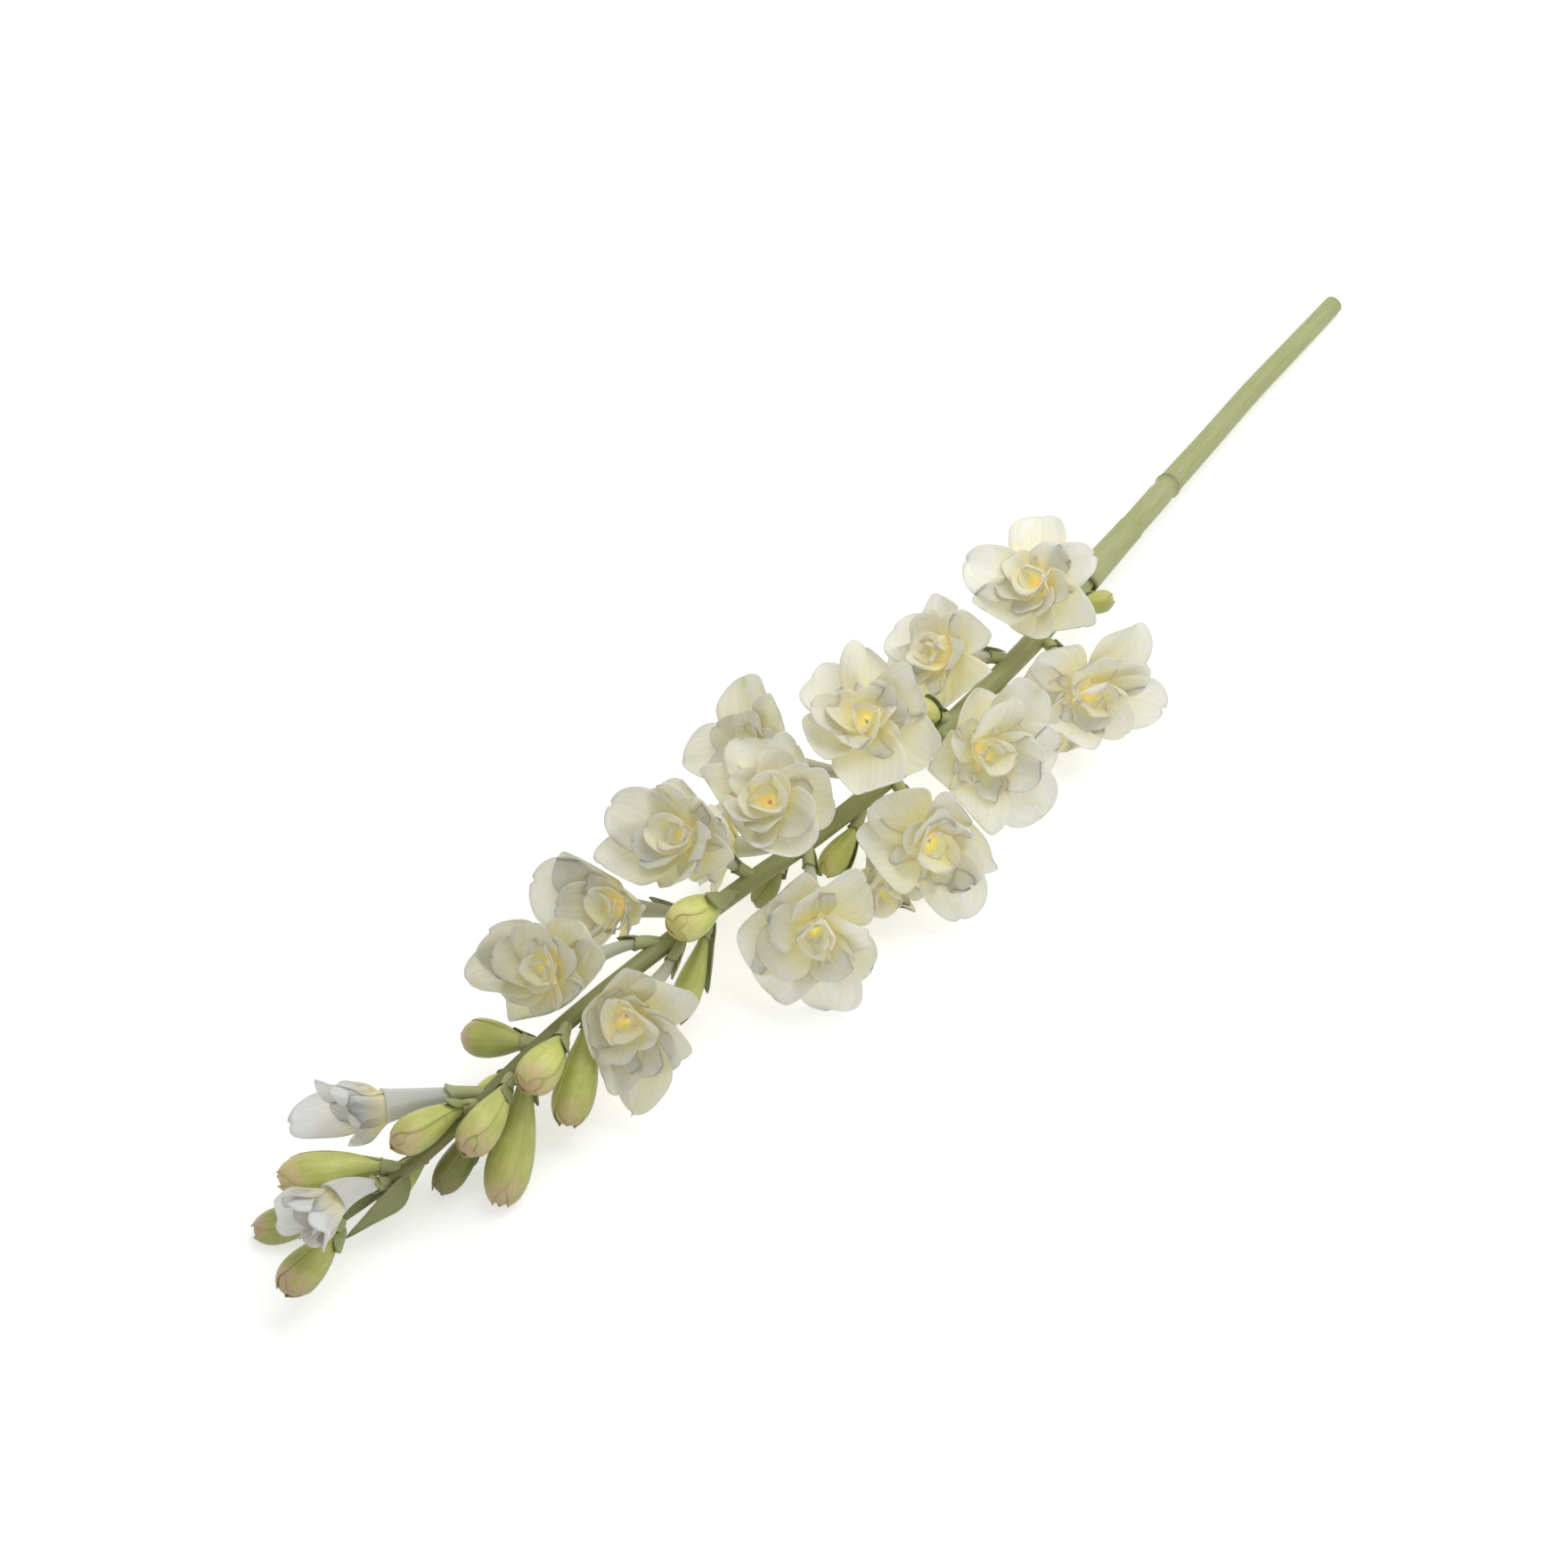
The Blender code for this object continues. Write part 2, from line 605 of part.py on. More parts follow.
def bract(floret, planes):
    # a pointed blade on the cut end's side of a floret; it is moved out and then shortened
    # until it stands clear of the floret that it wraps
    ease = 0.4
    longest = min(floret.bract / floret.length(), 0.95)
    slacks = (0, 0.4, 0.8, 1.3, 1.9)
    trials = [(longest * cut, slack) for cut in (1, 0.85, 0.7, 0.55, 0.4) for slack in slacks]
    for share, slack in trials:
        sheet = bract_sheet(floret, share, slack)
        flat = hold_back(np.array([p for row in sheet for p in row]), planes, CLEAR + BLADE / 2, ease)
        pairs = [(i, j) for i in range(len(flat)) for j in range(i + 1, min(i + 5, len(flat)))]
        spots = [flat[i] * (1 - w) + flat[j] * w for i, j in pairs for w in (0.25, 0.5, 0.75)]
        if floret.room_round(np.array(spots)) > BLADE / 2 + SEAM + 0.1:
            break
    return blade_object("bract", sheet, planes, ease)


def peg(floret):
    # the stub of the stem that the floret sits on
    axes = (floret.start, floret.seat_axis())
    return skin_object("peg", [floret.origin, floret.point(0)], [ROOT_R - 0.2, ROOT_R + PEG_CUP],
                       PEG_SIDES, axes)


def cut_at_floor(obj):
    # the lowest points are pressed flat where the flower lies on them
    bm = bmesh.new()
    bm.from_mesh(obj.data)
    if min(v.co.z for v in bm.verts) < -0.00001:
        parts = list(bm.verts) + list(bm.edges) + list(bm.faces)
        cut = bmesh.ops.bisect_plane(bm, geom=parts, dist=1e-7, plane_co=(0, 0, 0),
                                     plane_no=(0, 0, -1), clear_outer=True)
        rim = [e for e in cut["geom_cut"] if isinstance(e, bmesh.types.BMEdge)]
        bmesh.ops.holes_fill(bm, edges=rim, sides=0)
        bmesh.ops.recalc_face_normals(bm, faces=bm.faces)
        bm.to_mesh(obj.data)
    bm.free()


def stem_rings(stem):
    # stations and radii of the stem's skin: plain rings, the joint's ridge and the sheath's rim
    special = (
        (0, -0.6), (3, 0), (NODE_AT - 3, 0), (NODE_AT, 0.7), (NODE_AT + 3, -0.1),
        (SHEATH_END, 0.2), (SHEATH_END + 0.7, -SHEATH_WALL), (stem.length, 0),
    )
    rings = [(s, stem.at(s)[3] + extra) for s, extra in special]
    for s in np.arange(STEM_STEP, stem.length, STEM_STEP):
        if min(abs(s - other[0]) for other in special) > STEM_STEP / 3:
            rings.append((s, stem.at(s)[3]))
    return sorted(rings)


def petal_points(floret, petals):
    # points along the six outer petals
    out = []
    for turn, lean, length in petals:
        tilt = math.radians(lean)
        way = turned(floret.face, turn) * math.sin(tilt) + floret.face * math.cos(tilt)
        out += [floret.end + way * (length * s + 3) for s in (0.4, 0.7, 1.0)]
    return np.array(out)


def bloom_girth(name):
    throat = WIDE_THROATS.get(name, THROAT_R)
    return lambda share: tube_radius(share, throat)


def bud_girth(width):
    return lambda share: bud_radius(share, width)


def lay_out(stem):
    # every floret's axis, and the planes that keep each clear of its neighbours
    florets = []
    keep = {}
    want = {}
    for name, (station, az, el, reach, face_az, face_el, petals) in BLOOMS.items():
        f = Floret(stem, name, (station, az, el, reach), (face_az, face_el), bloom_girth(name))
        florets.append(f)
        keep[name] = f.stiff_part(((5, 5.5), (10, 5.0)))
        want[name] = petal_points(f, petals)
    for name, (station, az, el, reach, width) in BUDS.items():
        f = Floret(stem, name, (station, az, el, reach), None, bud_girth(width))
        florets.append(f)
        keep[name] = f.stiff_part(())
        want[name] = keep[name][0][-2:]
    return florets, parting_planes(florets, keep, want)


def main():
    remove_everything()
    stem = Stem()
    florets, planes = lay_out(stem)
    green = []
    for k, f in enumerate(florets):
        green.append(peg(f))
        green.append(bract(f, planes[f.name]))
        if f.name in BLOOMS:
            off_stem = (-f.radial, -(f.origin @ f.radial) - f.stem_radius - 0.6)
            obj = bloom(f, BLOOMS[f.name][-1], planes[f.name] + [off_stem], 11 + k)
            paint(obj, f.name + "_petal", PETAL_WHITE if f.name in WHITE_BLOOMS else PETAL_CREAM, 0.55)
        else:
            obj = bud(f)
            paint(obj, f.name + "_skin", BUD_COLOURS.get(f.name, BUD_GREEN), 0.5)
    rings = stem_rings(stem)
    line = [stem.at(s)[:3] for s, _ in rings]
    core = skin_object("stem", line, [r for _, r in rings], STEM_SIDES)
    paint(fuse("stem", core, green), "stem_skin", STEM_GREEN, 0.55)
    for obj in bpy.data.objects:
        cut_at_floor(obj)
        shade(obj)


main()
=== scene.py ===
import math

import bmesh
import bpy
import numpy as np
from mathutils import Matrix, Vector


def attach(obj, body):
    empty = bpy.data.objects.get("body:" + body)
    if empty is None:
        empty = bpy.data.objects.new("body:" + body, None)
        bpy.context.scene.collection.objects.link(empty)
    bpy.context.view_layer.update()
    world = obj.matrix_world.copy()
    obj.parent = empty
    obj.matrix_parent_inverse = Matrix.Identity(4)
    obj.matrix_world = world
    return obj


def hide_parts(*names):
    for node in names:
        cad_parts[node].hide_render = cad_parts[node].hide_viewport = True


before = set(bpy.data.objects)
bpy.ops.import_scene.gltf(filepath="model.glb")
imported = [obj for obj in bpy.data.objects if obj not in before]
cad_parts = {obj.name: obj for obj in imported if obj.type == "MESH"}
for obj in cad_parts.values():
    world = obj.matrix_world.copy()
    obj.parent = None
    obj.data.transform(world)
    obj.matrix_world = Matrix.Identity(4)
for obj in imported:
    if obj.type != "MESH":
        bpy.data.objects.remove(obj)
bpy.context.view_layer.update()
mm = 0.001
print("tuberose: frame loaded,", len(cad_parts), "nodes")


# the stem's line, and where each bloom and bud grows, in millimetres and degrees
layout = {
    "middle": (36.1, -39.8),      # the frame's origin in the tables' own plan
    "clear": 0.35,                # half of the room between two neighbours
    "nearby": 110,                # florets further apart than this can't meet
    "rootRadius": 2.3,            # a floret's base
    "throatRadius": 5.2,          # a bloom's mouth
    "wideThroats": {"bloom_15": 7.4, "bloom_16": 7.2},
    "bract": 11,                  # how far a bract reaches along its floret
    "bractGap": 0.9,              # between a floret and its bract
    "bladeWall": 0.8,             # thickness of the source's blades
    "leaving": 50,                # the least angle at which a floret leaves the stem
    "pull": (0.35, 0.3),          # how far its curve keeps to its first and last direction
    "mouthRoom": ((5, 5.5), (10, 5.0)),  # how far ahead of a bloom's mouth, and how wide
    "directions": 700,            # tried for the plane between two neighbours
    "beyond": 3,                  # room that a petal wants past its tip
    "floorGap": 0.3,              # the lowest that any piece reaches
}

stemRows = (                      # x, y, z, radius from the cut end to the tip
    (401, -16, 4.1, 4.6), (360, -19, 6.2, 4.9), (320, -22, 8.5, 5.1), (281, -26, 10.5, 5.3),
    (241, -30, 13, 5.7), (205, -34, 15.5, 5.8), (168, -38, 18.5, 6.1), (140, -42, 21, 5.2),
    (109, -46, 24, 4.9), (49, -49.5, 29.5, 4.6), (0, -49, 33, 4.3), (-41, -46, 35, 4.1),
    (-69, -42, 36, 4.0), (-99, -38, 36, 3.9), (-141, -33, 35.5, 3.8), (-179, -29, 33.5, 3.6),
    (-222, -25.4, 27, 3.3), (-249.7, -22.8, 22, 3.0), (-275, -17.8, 18, 2.6), (-294, -13.8, 15.5, 2.0),
)

longBracts = {                    # how far a bract reaches along its floret, where it isn't the usual
    "bloom_03": 20, "bloom_04": 14, "bloom_13": 9, "bloom_15": 10, "bud_03": 30, "bud_05": 18,
    "bud_06": 26, "bud_12": 24, "bud_17": 34, "bloom_10": 18, "bud_09": 14, "bud_02": 14,
}

# station, azimuth and elevation of the tube, reach, azimuth and elevation of the mouth,
# then turn, lean and length of the six outer petals
bloomRows = {
    "bloom_01": (264, -177, 63, 36, 170, 55,
        ((30, 70, 24), (102, 92, 26), (148, 86, 22), (190, 60, 22), (247, 65, 27), (315, 95, 27))),
    "bloom_02": (280, -116, 9, 44, -126, 26,
        ((41, 92, 32), (112, 78, 29), (168, 92, 25), (222, 62, 24), (272, 98, 26), (322, 90, 23))),
    "bloom_03": (302, 147, 27, 36, 151, 33,
        ((14, 90, 23), (96, 100, 30), (145, 76, 23), (197, 60, 24), (250, 68, 24), (305, 90, 24))),
    "bloom_04": (390, 140, 70, 38, -167, 64,
        ((40, 72, 26), (98, 96, 29), (155, 78, 26), (222, 72, 27), (285, 90, 28), (343, 85, 29))),
    "bloom_05": (360, -106, 29, 34, -110, 35,
        ((8, 94, 32), (62, 78, 32), (112, 80, 28), (160, 64, 32), (220, 64, 23), (285, 85, 22))),
    "bloom_06": (392, -119, 2, 40, -122, 26,
        ((40, 75, 23), (112, 85, 30), (172, 66, 30), (215, 88, 23), (272, 80, 25), (332, 90, 22))),
    "bloom_07": (449, 145, 69, 36, -156, 63,
        ((13, 96, 25), (76, 74, 28), (145, 72, 25), (210, 66, 26), (270, 95, 28), (322, 100, 25))),
    "bloom_08": (397, 121, 8, 54, 138, 31,
        ((0, 75, 26), (55, 82, 24), (105, 80, 22), (155, 55, 26), (205, 46, 31), (290, 66, 29))),
    "bloom_09": (474, 133, 44, 38, 161, 49,
        ((24, 70, 25), (80, 86, 24), (138, 70, 24), (198, 60, 32), (252, 55, 30), (305, 88, 23))),
    "bloom_10": (503, 125, 5, 34, 147, 31,
        ((35, 80, 20), (85, 74, 20), (142, 60, 22), (196, 54, 26), (238, 45, 35), (278, 46, 29))),
    "bloom_11": (524, 157, 15, 52, 166, 42,
        ((4, 76, 27), (52, 88, 26), (110, 90, 25), (167, 90, 31), (215, 56, 31), (270, 60, 31))),
    "bloom_12": (515, -167, 1, 48, -147, 33,
        ((359, 71, 23), (52, 68, 26), (115, 66, 28), (170, 80, 38), (208, 70, 34), (276, 66, 28))),
    "bloom_13": (445, -137, -5, 42, -141, 22,
        ((45, 86, 29), (125, 90, 29), (171, 78, 32), (217, 70, 31), (270, 88, 32), (325, 80, 24))),
    "bloom_14": (402, -140, -38, 38, -128, -2,
        ((0, 70, 22), (70, 75, 22), (135, 75, 24), (172, 60, 25), (225, 66, 25), (290, 75, 22))),
    "bloom_15": (621, 141, 5, 42, 147, 10,
        ((8, 26, 24), (62, 40, 22), (118, 56, 23), (165, 58, 25), (208, 22, 36), (310, 16, 27))),
    "bloom_16": (674, 178, 35, 34, 176, 4,
        ((350, 20, 18), (50, 22, 19), (115, 24, 18), (180, 28, 20), (240, 26, 20), (300, 20, 18))),
    "bloom_17": (446, 112, -22, 36, 122, 8,
        ((10, 75, 24), (70, 82, 24), (130, 84, 25), (190, 80, 24), (250, 78, 25), (310, 80, 24))),
    "bloom_18": (318, -80, -35, 30, -120, 8,
        ((355, 76, 22), (308, 80, 25), (255, 84, 24), (190, 85, 22), (140, 86, 24), (70, 76, 24))),
}

longerPetals = {                  # petals that reach over the stem, and by how much
    ("bloom_02", 272): 1.15, ("bloom_02", 222): 1.25, ("bloom_03", 96): 1.2, ("bloom_03", 145): 1.35,
    ("bloom_04", 98): 1.3, ("bloom_04", 155): 1.5, ("bloom_05", 285): 1.5, ("bloom_05", 220): 1.5,
    ("bloom_06", 332): 1.55, ("bloom_06", 272): 1.45, ("bloom_06", 40): 1.2, ("bloom_08", 105): 1.3,
    ("bloom_01", 190): 1.15, ("bloom_07", 145): 1.2, ("bloom_12", 52): 1.15,
}

budRows = {                       # station, azimuth, elevation, length from the stem's middle, width
    "bud_01": (350, 158, 42, 28, 14),
    "bud_02": (266, -41, 15, 27, 10),
    "bud_03": (411, -167, -15, 38, 12),
    "bud_04": (456, 150, -62, 30, 10),
    "bud_05": (487, -178, 23, 41, 17.5),
    "bud_06": (500, -158, -25, 48, 12),
    "bud_07": (592, 109, -17, 36, 16),
    "bud_08": (578, -161, 9, 40, 17),
    "bud_09": (565, -152, -27, 51, 17),
    "bud_10": (609, -160, 9, 46, 16),
    "bud_11": (601, -151, -29, 59, 18.5),
    "bud_12": (620, -174, -33, 45, 13),
    "bud_13": (627, 172, 17, 44, 15.5),
    "bud_14": (666, 136, 3, 50, 17.5),
    "bud_15": (690, 132, -20, 44, 14.5),
    "bud_16": (697, -170, 2, 40, 16),
    "bud_17": (648, 160, -34, 36, 13),
    "bud_18": (603, 140, -45, 26, 8.5),
}


def unit(v):
    return v / np.linalg.norm(v)


def heading(azimuth, elevation):
    a = math.radians(azimuth)
    e = math.radians(elevation)
    return np.array((math.cos(a) * math.cos(e), math.sin(a) * math.cos(e), math.sin(e)))


def curveThrough(rows, samples):  # Catmull-Rom curve through a table's rows
    p = np.array(rows, float)
    p = np.vstack((2 * p[0] - p[1], p, 2 * p[-1] - p[-2]))
    out = []
    for i in range(1, len(p) - 2):
        a, b, c, d = p[i - 1], p[i], p[i + 1], p[i + 2]
        for t in np.arange(samples) / samples:
            out.append(b + 0.5 * t * (c - a + t * (2 * a - 5 * b + 4 * c - d + t * (3 * (b - c) + d - a))))
    out.append(p[-2])
    return np.array(out)


def readTable(where, table, rows):  # a row of values at each place, between the table's places
    return np.stack([np.interp(where, table, rows[:, k]) for k in range(rows.shape[1])], axis=-1)


def rise(value, start, width):    # 0 up to start, 1 from start + width on, straight between
    return np.clip((value - start) / width, 0, 1)


stemLine = curveThrough(stemRows, 24)
stemLine[:, :2] -= layout["middle"]
stemRun = np.concatenate(((0.0,), np.cumsum(np.linalg.norm(np.diff(stemLine[:, :3], axis=0), axis=1))))


def stemAt(station):
    return readTable(station, stemRun, stemLine)


def stemWay(station):
    return unit(stemAt(station + 2)[:3] - stemAt(station - 2)[:3])


def uprightPair(axis):            # two directions across an axis, the first as near to up as can be
    up = np.array((0.0, 0.0, 1.0)) - axis[2] * axis
    if np.linalg.norm(up) < 0.05:
        up = np.array((1.0, 0.0, 0.0)) - axis[0] * axis
    up = unit(up)
    return up, np.cross(up, axis)


def carriedAlong(ways):           # a direction across a line, carried along it without a twist
    rows = []
    up = None
    for axis in ways:
        up = uprightPair(axis)[0] if up is None else unit(up - axis * (up @ axis))
        rows.append(np.concatenate((up, axis)))
    return np.array(rows)


class Floret:                     # one bloom or bud: its axis from the stem's middle to its mouth or tip
    def __init__(self, name, pose, face, girth):
        station, azimuth, elevation, reach = pose
        here = stemAt(station)
        aim = heading(azimuth, elevation)
        self.name = name
        self.girth = girth
        self.bract = longBracts.get(name, layout["bract"])
        self.stemRadius = here[3]
        self.origin = here[:3]
        self.forward = stemWay(station)
        self.radial = unit(aim - self.forward * (aim @ self.forward))
        self.end = self.origin + aim * reach
        self.face = aim if face is None else heading(*face)
        spread = max(math.acos(np.clip(aim @ self.forward, -1, 1)), math.radians(layout["leaving"]))
        start = self.forward * math.cos(spread) + self.radial * math.sin(spread)
        t = np.linspace(0, 1, 41)[:, None]
        b = self.origin + start * reach * layout["pull"][0]
        c = self.end - self.face * reach * layout["pull"][1]
        self.axis = (self.origin * (1 - t) ** 3 + 3 * b * t * (1 - t) ** 2
                     + 3 * c * t * t * (1 - t) + self.end * t ** 3)
        steps = np.linalg.norm(np.diff(self.axis, axis=0), axis=1)
        self.runs = np.concatenate(((0.0,), np.cumsum(steps)))
        self.seat = self.stemRadius + 1.0
        while not self.offStem():
            self.seat += 0.2

    def at(self, share):          # share 0 is the seat on the stub, 1 the mouth or tip
        run = self.seat + np.asarray(share, float) * self.length()
        return readTable(run, self.runs, self.axis)

    def way(self, share):
        return unit(self.at(share + 0.02) - self.at(share - 0.02))

    def length(self):
        return self.runs[-1] - self.seat

    def offStem(self):
        for share in (0, 0.1, 0.2):
            axis = unit(self.at(share + 0.02) - self.at(share))
            side = unit(np.cross(axis, self.forward))
            inward = np.cross(side, axis)
            for way in (inward, -inward, side, -side):
                p = self.at(share) + way * (layout["rootRadius"] + 0.2) - self.origin
                p = p - self.forward * (p @ self.forward)
                if np.linalg.norm(p) < self.stemRadius + 0.3:
                    return False
        return True

    def stiffSpheres(self, mouth):
        spots = []
        sizes = []
        for share in np.linspace(0, 1, 11):
            wrap = layout["bractGap"] + layout["bladeWall"] if share < self.bract / self.length() else 0.3
            spots.append(self.at(share))
            sizes.append(self.girth(share) + wrap)
        for ahead, size in mouth:
            spots.append(self.end + self.face * ahead)
            sizes.append(size)
        return np.array(spots), np.array(sizes)


def turned(face, degrees):
    up, side = uprightPair(face)
    return up * math.cos(math.radians(degrees)) + side * math.sin(math.radians(degrees))


def tubeGirth(name):
    root = layout["rootRadius"]
    throat = layout["wideThroats"].get(name, layout["throatRadius"])
    return lambda share: root + (throat - root) * share ** 1.3


def budGirth(width):
    def girth(share):
        share = np.asarray(share, float)
        neck = 0.32 + 0.68 * np.sin(math.pi / 2 * np.clip(share / 0.7, 0, 1)) ** 1.35
        cap = np.sqrt(np.clip(1 - np.clip((share - 0.72) / 0.29, 0, None) ** 2, 0, None))
        return width / 2 * neck * cap
    return girth


def partingPlanes(florets, keep, want):  # one plane between each pair of neighbours
    k = np.arange(layout["directions"])
    z = 1 - (2 * k + 1) / len(k)
    ring = np.sqrt(1 - z * z)
    turn = k * math.pi * (3 - math.sqrt(5))
    normals = np.stack((ring * np.cos(turn), ring * np.sin(turn), z), axis=1)
    planes = {f.name: [] for f in florets}
    for i, a in enumerate(florets):
        for b in florets[i + 1:]:
            spotsA, sizesA = keep[a.name]
            spotsB, sizesB = keep[b.name]
            middleA = np.vstack((spotsA, want[a.name])).mean(0)
            middleB = np.vstack((spotsB, want[b.name])).mean(0)
            if np.linalg.norm(middleA - middleB) > layout["nearby"]:
                continue
            high = (normals @ spotsA.T + sizesA).max(1)
            room = (normals @ spotsB.T - sizesB).min(1) - high
            best = None
            for share in (0.1, 0.3, 0.5, 0.7, 0.9):
                level = high + share * room
                overA = np.clip(normals @ want[a.name].T - level[:, None], 0, None)
                overB = np.clip(level[:, None] - normals @ want[b.name].T, 0, None)
                cost = (overA ** 2).sum(1) + (overB ** 2).sum(1) - 0.5 * np.minimum(room, 4)
                cost = cost + np.where(room < 2 * layout["clear"], 1e6 - 1e3 * room, 0)
                n = int(np.argmin(cost))
                if best is None or cost[n] < best[0]:
                    best = (cost[n], normals[n], level[n])
            planes[a.name].append((best[1], best[2]))
            planes[b.name].append((-best[1], -best[2]))
    return planes


def holdBack(points, limits, margin, ease):  # bend points to the near side of each plane
    out = points.copy()
    for _ in range(3):
        for normal, level in limits:
            room = level - margin - out @ normal
            soft = np.where(room > 6 * ease, room, ease * np.log1p(np.exp(np.clip(room / ease, -40, 40))))
            out = out + (room - soft)[:, None] * normal
    return out


florets = {}
keep = {}
want = {}
for name, row in bloomRows.items():
    floret = Floret(name, row[:4], row[4:6], tubeGirth(name))
    florets[name] = floret
    keep[name] = floret.stiffSpheres(layout["mouthRoom"])
    reachPoints = []
    for turn, lean, length in row[6]:
        tilt = math.radians(lean)
        way = turned(floret.face, turn) * math.sin(tilt) + floret.face * math.cos(tilt)
        long = length * longerPetals.get((name, turn), 1.0)
        reachPoints += [floret.end + way * (long * s + layout["beyond"]) for s in (0.4, 0.7, 1.0)]
    want[name] = np.array(reachPoints)
for name, row in budRows.items():
    floret = Floret(name, row[:4], None, budGirth(row[4]))
    florets[name] = floret
    keep[name] = floret.stiffSpheres(())
    want[name] = keep[name][0][-2:]
planes = partingPlanes(list(florets.values()), keep, want)
print("tuberose: laid out", len(florets), "florets")


class Wire:                       # a socket that takes part in Python sums: each adds a Math node
    def __init__(self, finish, socket):
        self.finish = finish
        self.socket = socket

    def sum(self, operation, first, second):
        return self.finish.node("ShaderNodeMath", {"operation": operation}, {0: first, 1: second})

    def __add__(self, other):
        return self.sum("ADD", self, other)

    def __radd__(self, other):
        return self.sum("ADD", other, self)

    def __sub__(self, other):
        return self.sum("SUBTRACT", self, other)

    def __rsub__(self, other):
        return self.sum("SUBTRACT", other, self)

    def __mul__(self, other):
        return self.sum("MULTIPLY", self, other)

    def __rmul__(self, other):
        return self.sum("MULTIPLY", other, self)

    def __pow__(self, other):
        return self.sum("POWER", self, other)

    def __rpow__(self, other):
        return self.sum("POWER", other, self)

    def __abs__(self):
        return self.finish.node("ShaderNodeMath", {"operation": "ABSOLUTE"}, {0: self})

    def step(self, low, high):    # 0 below low, 1 above high, eased between; low may be the greater
        flip = low > high
        edge = {"Value": self, "From Min": min(low, high), "From Max": max(low, high)}
        eased = self.finish.node("ShaderNodeMapRange", {"interpolation_type": "SMOOTHSTEP"}, edge)
        return 1 - eased if flip else eased


class Finish:                     # one material; node() adds any node and gives its output as a Wire
    def __init__(self, name, **fixed):
        self.material = bpy.data.materials.new(name)
        self.material.use_nodes = True
        self.tree = self.material.node_tree
        self.shader = self.tree.nodes["Principled BSDF"]
        for socket, value in fixed.items():
            self.shader.inputs[socket.replace("_", " ")].default_value = value

    def node(self, kind, settings=None, values=None, out=0):
        made = self.tree.nodes.new(kind)
        for key, value in (settings or {}).items():
            setattr(made, key, value)
        for key, value in (values or {}).items():
            if isinstance(value, Wire):
                self.tree.links.new(value.socket, made.inputs[key])
            else:
                made.inputs[key].default_value = value
        return Wire(self, made.outputs[out])

    def attributes(self, *names):
        return [self.node("ShaderNodeAttribute", {"attribute_name": name}, out="Fac") for name in names]

    def place(self):              # the piece's own coordinates, in millimetres
        return self.scaled(self.node("ShaderNodeTexCoord", out="Object"), 1 / mm)

    def noise(self, where, size, detail=3.0, roughness=0.5):
        sockets = {"Vector": where, "Scale": 1 / size, "Detail": detail, "Roughness": roughness}
        return self.node("ShaderNodeTexNoise", {}, sockets)

    def paintedShadeBelow(self):              # 0 on the upper side of a piece, 1 on its under side: the mask for painted shade
        facing = {0: self.node("ShaderNodeNewGeometry", out="Normal"), 1: (0, 0, -1)}
        downward = self.node("ShaderNodeVectorMath", {"operation": "DOT_PRODUCT"}, facing, out="Value")
        return downward.step(-0.95, 0.6)

    def scaled(self, colour, share):
        return self.node("ShaderNodeVectorMath", {"operation": "SCALE"}, {0: colour, "Scale": share})

    def point(self, x, y, z=0.0):
        return self.node("ShaderNodeCombineXYZ", {}, {"X": x, "Y": y, "Z": z})

    def blend(self, share, first, second):
        first = first if isinstance(first, Wire) else (*first, 1)
        second = second if isinstance(second, Wire) else (*second, 1)
        settings = {"data_type": "RGBA", "clamp_factor": True}
        return self.node("ShaderNodeMix", settings, {0: share, 6: first, 7: second}, out=2)

    def bump(self, height, strength, distance):
        sockets = {"Height": height, "Strength": strength, "Distance": distance}
        self.wear("Normal", self.node("ShaderNodeBump", {}, sockets))

    def wear(self, socket, wire):
        self.tree.links.new(wire.socket, self.shader.inputs[socket])


def newMesh(marks):               # an empty bmesh and its named per-point values
    bm = bmesh.new()
    return bm, {name: bm.verts.layers.float.new(name) for name in marks}


def bentGrid(bm, layers, across, along, place, marks, rolled=False):
    # a flat grid from -1 to 1 each way, moved to place(x, y) and kept above the floor
    made = bmesh.ops.create_grid(bm, x_segments=across, y_segments=along, size=1)["verts"]
    flat = np.array([v.co[:2] for v in made])
    spots = place(flat[:, 0], flat[:, 1])
    spots[:, 2] = np.maximum(spots[:, 2], layout["floorGap"])
    given = marks(flat[:, 0], flat[:, 1])
    values = {name: np.broadcast_to(value, len(made)) for name, value in given.items()}
    for i, v in enumerate(made):
        v.co = Vector(spots[i]) * mm
        for name, layer in layers.items():
            v[layer] = float(values[name][i])
    if rolled:                    # a grid rolled into a tube: its seam and its poles are closed
        bmesh.ops.remove_doubles(bm, verts=made, dist=0.000002)
        bmesh.ops.recalc_face_normals(bm, faces=bm.faces)


def finishPiece(name, bm, node, material, wall=0.0):
    bmesh.ops.dissolve_degenerate(bm, dist=0.0000005, edges=bm.edges)
    mesh = bpy.data.meshes.new(name)
    bm.to_mesh(mesh)
    bm.free()
    mesh.materials.append(material)
    mesh.polygons.foreach_set("use_smooth", [True] * len(mesh.polygons))
    piece = bpy.data.objects.new(name, mesh)
    bpy.context.scene.collection.objects.link(piece)
    if wall:
        shell = piece.modifiers.new("wall", "SOLIDIFY")
        shell.thickness = wall * mm
        shell.offset = 0
    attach(piece, "root")
    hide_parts(node)


def alongAxis(floret, shares, angles, radii):  # points round a floret's axis
    table = np.linspace(-0.05, 1.0, 64)
    ways = readTable(shares, table, carriedAlong([floret.way(share) for share in table]))
    up = ways[:, :3]
    axis = ways[:, 3:]
    side = np.cross(up, axis)
    out = up * np.cos(angles)[:, None] + side * np.sin(angles)[:, None]
    return floret.at(shares) + out * radii[:, None], axis


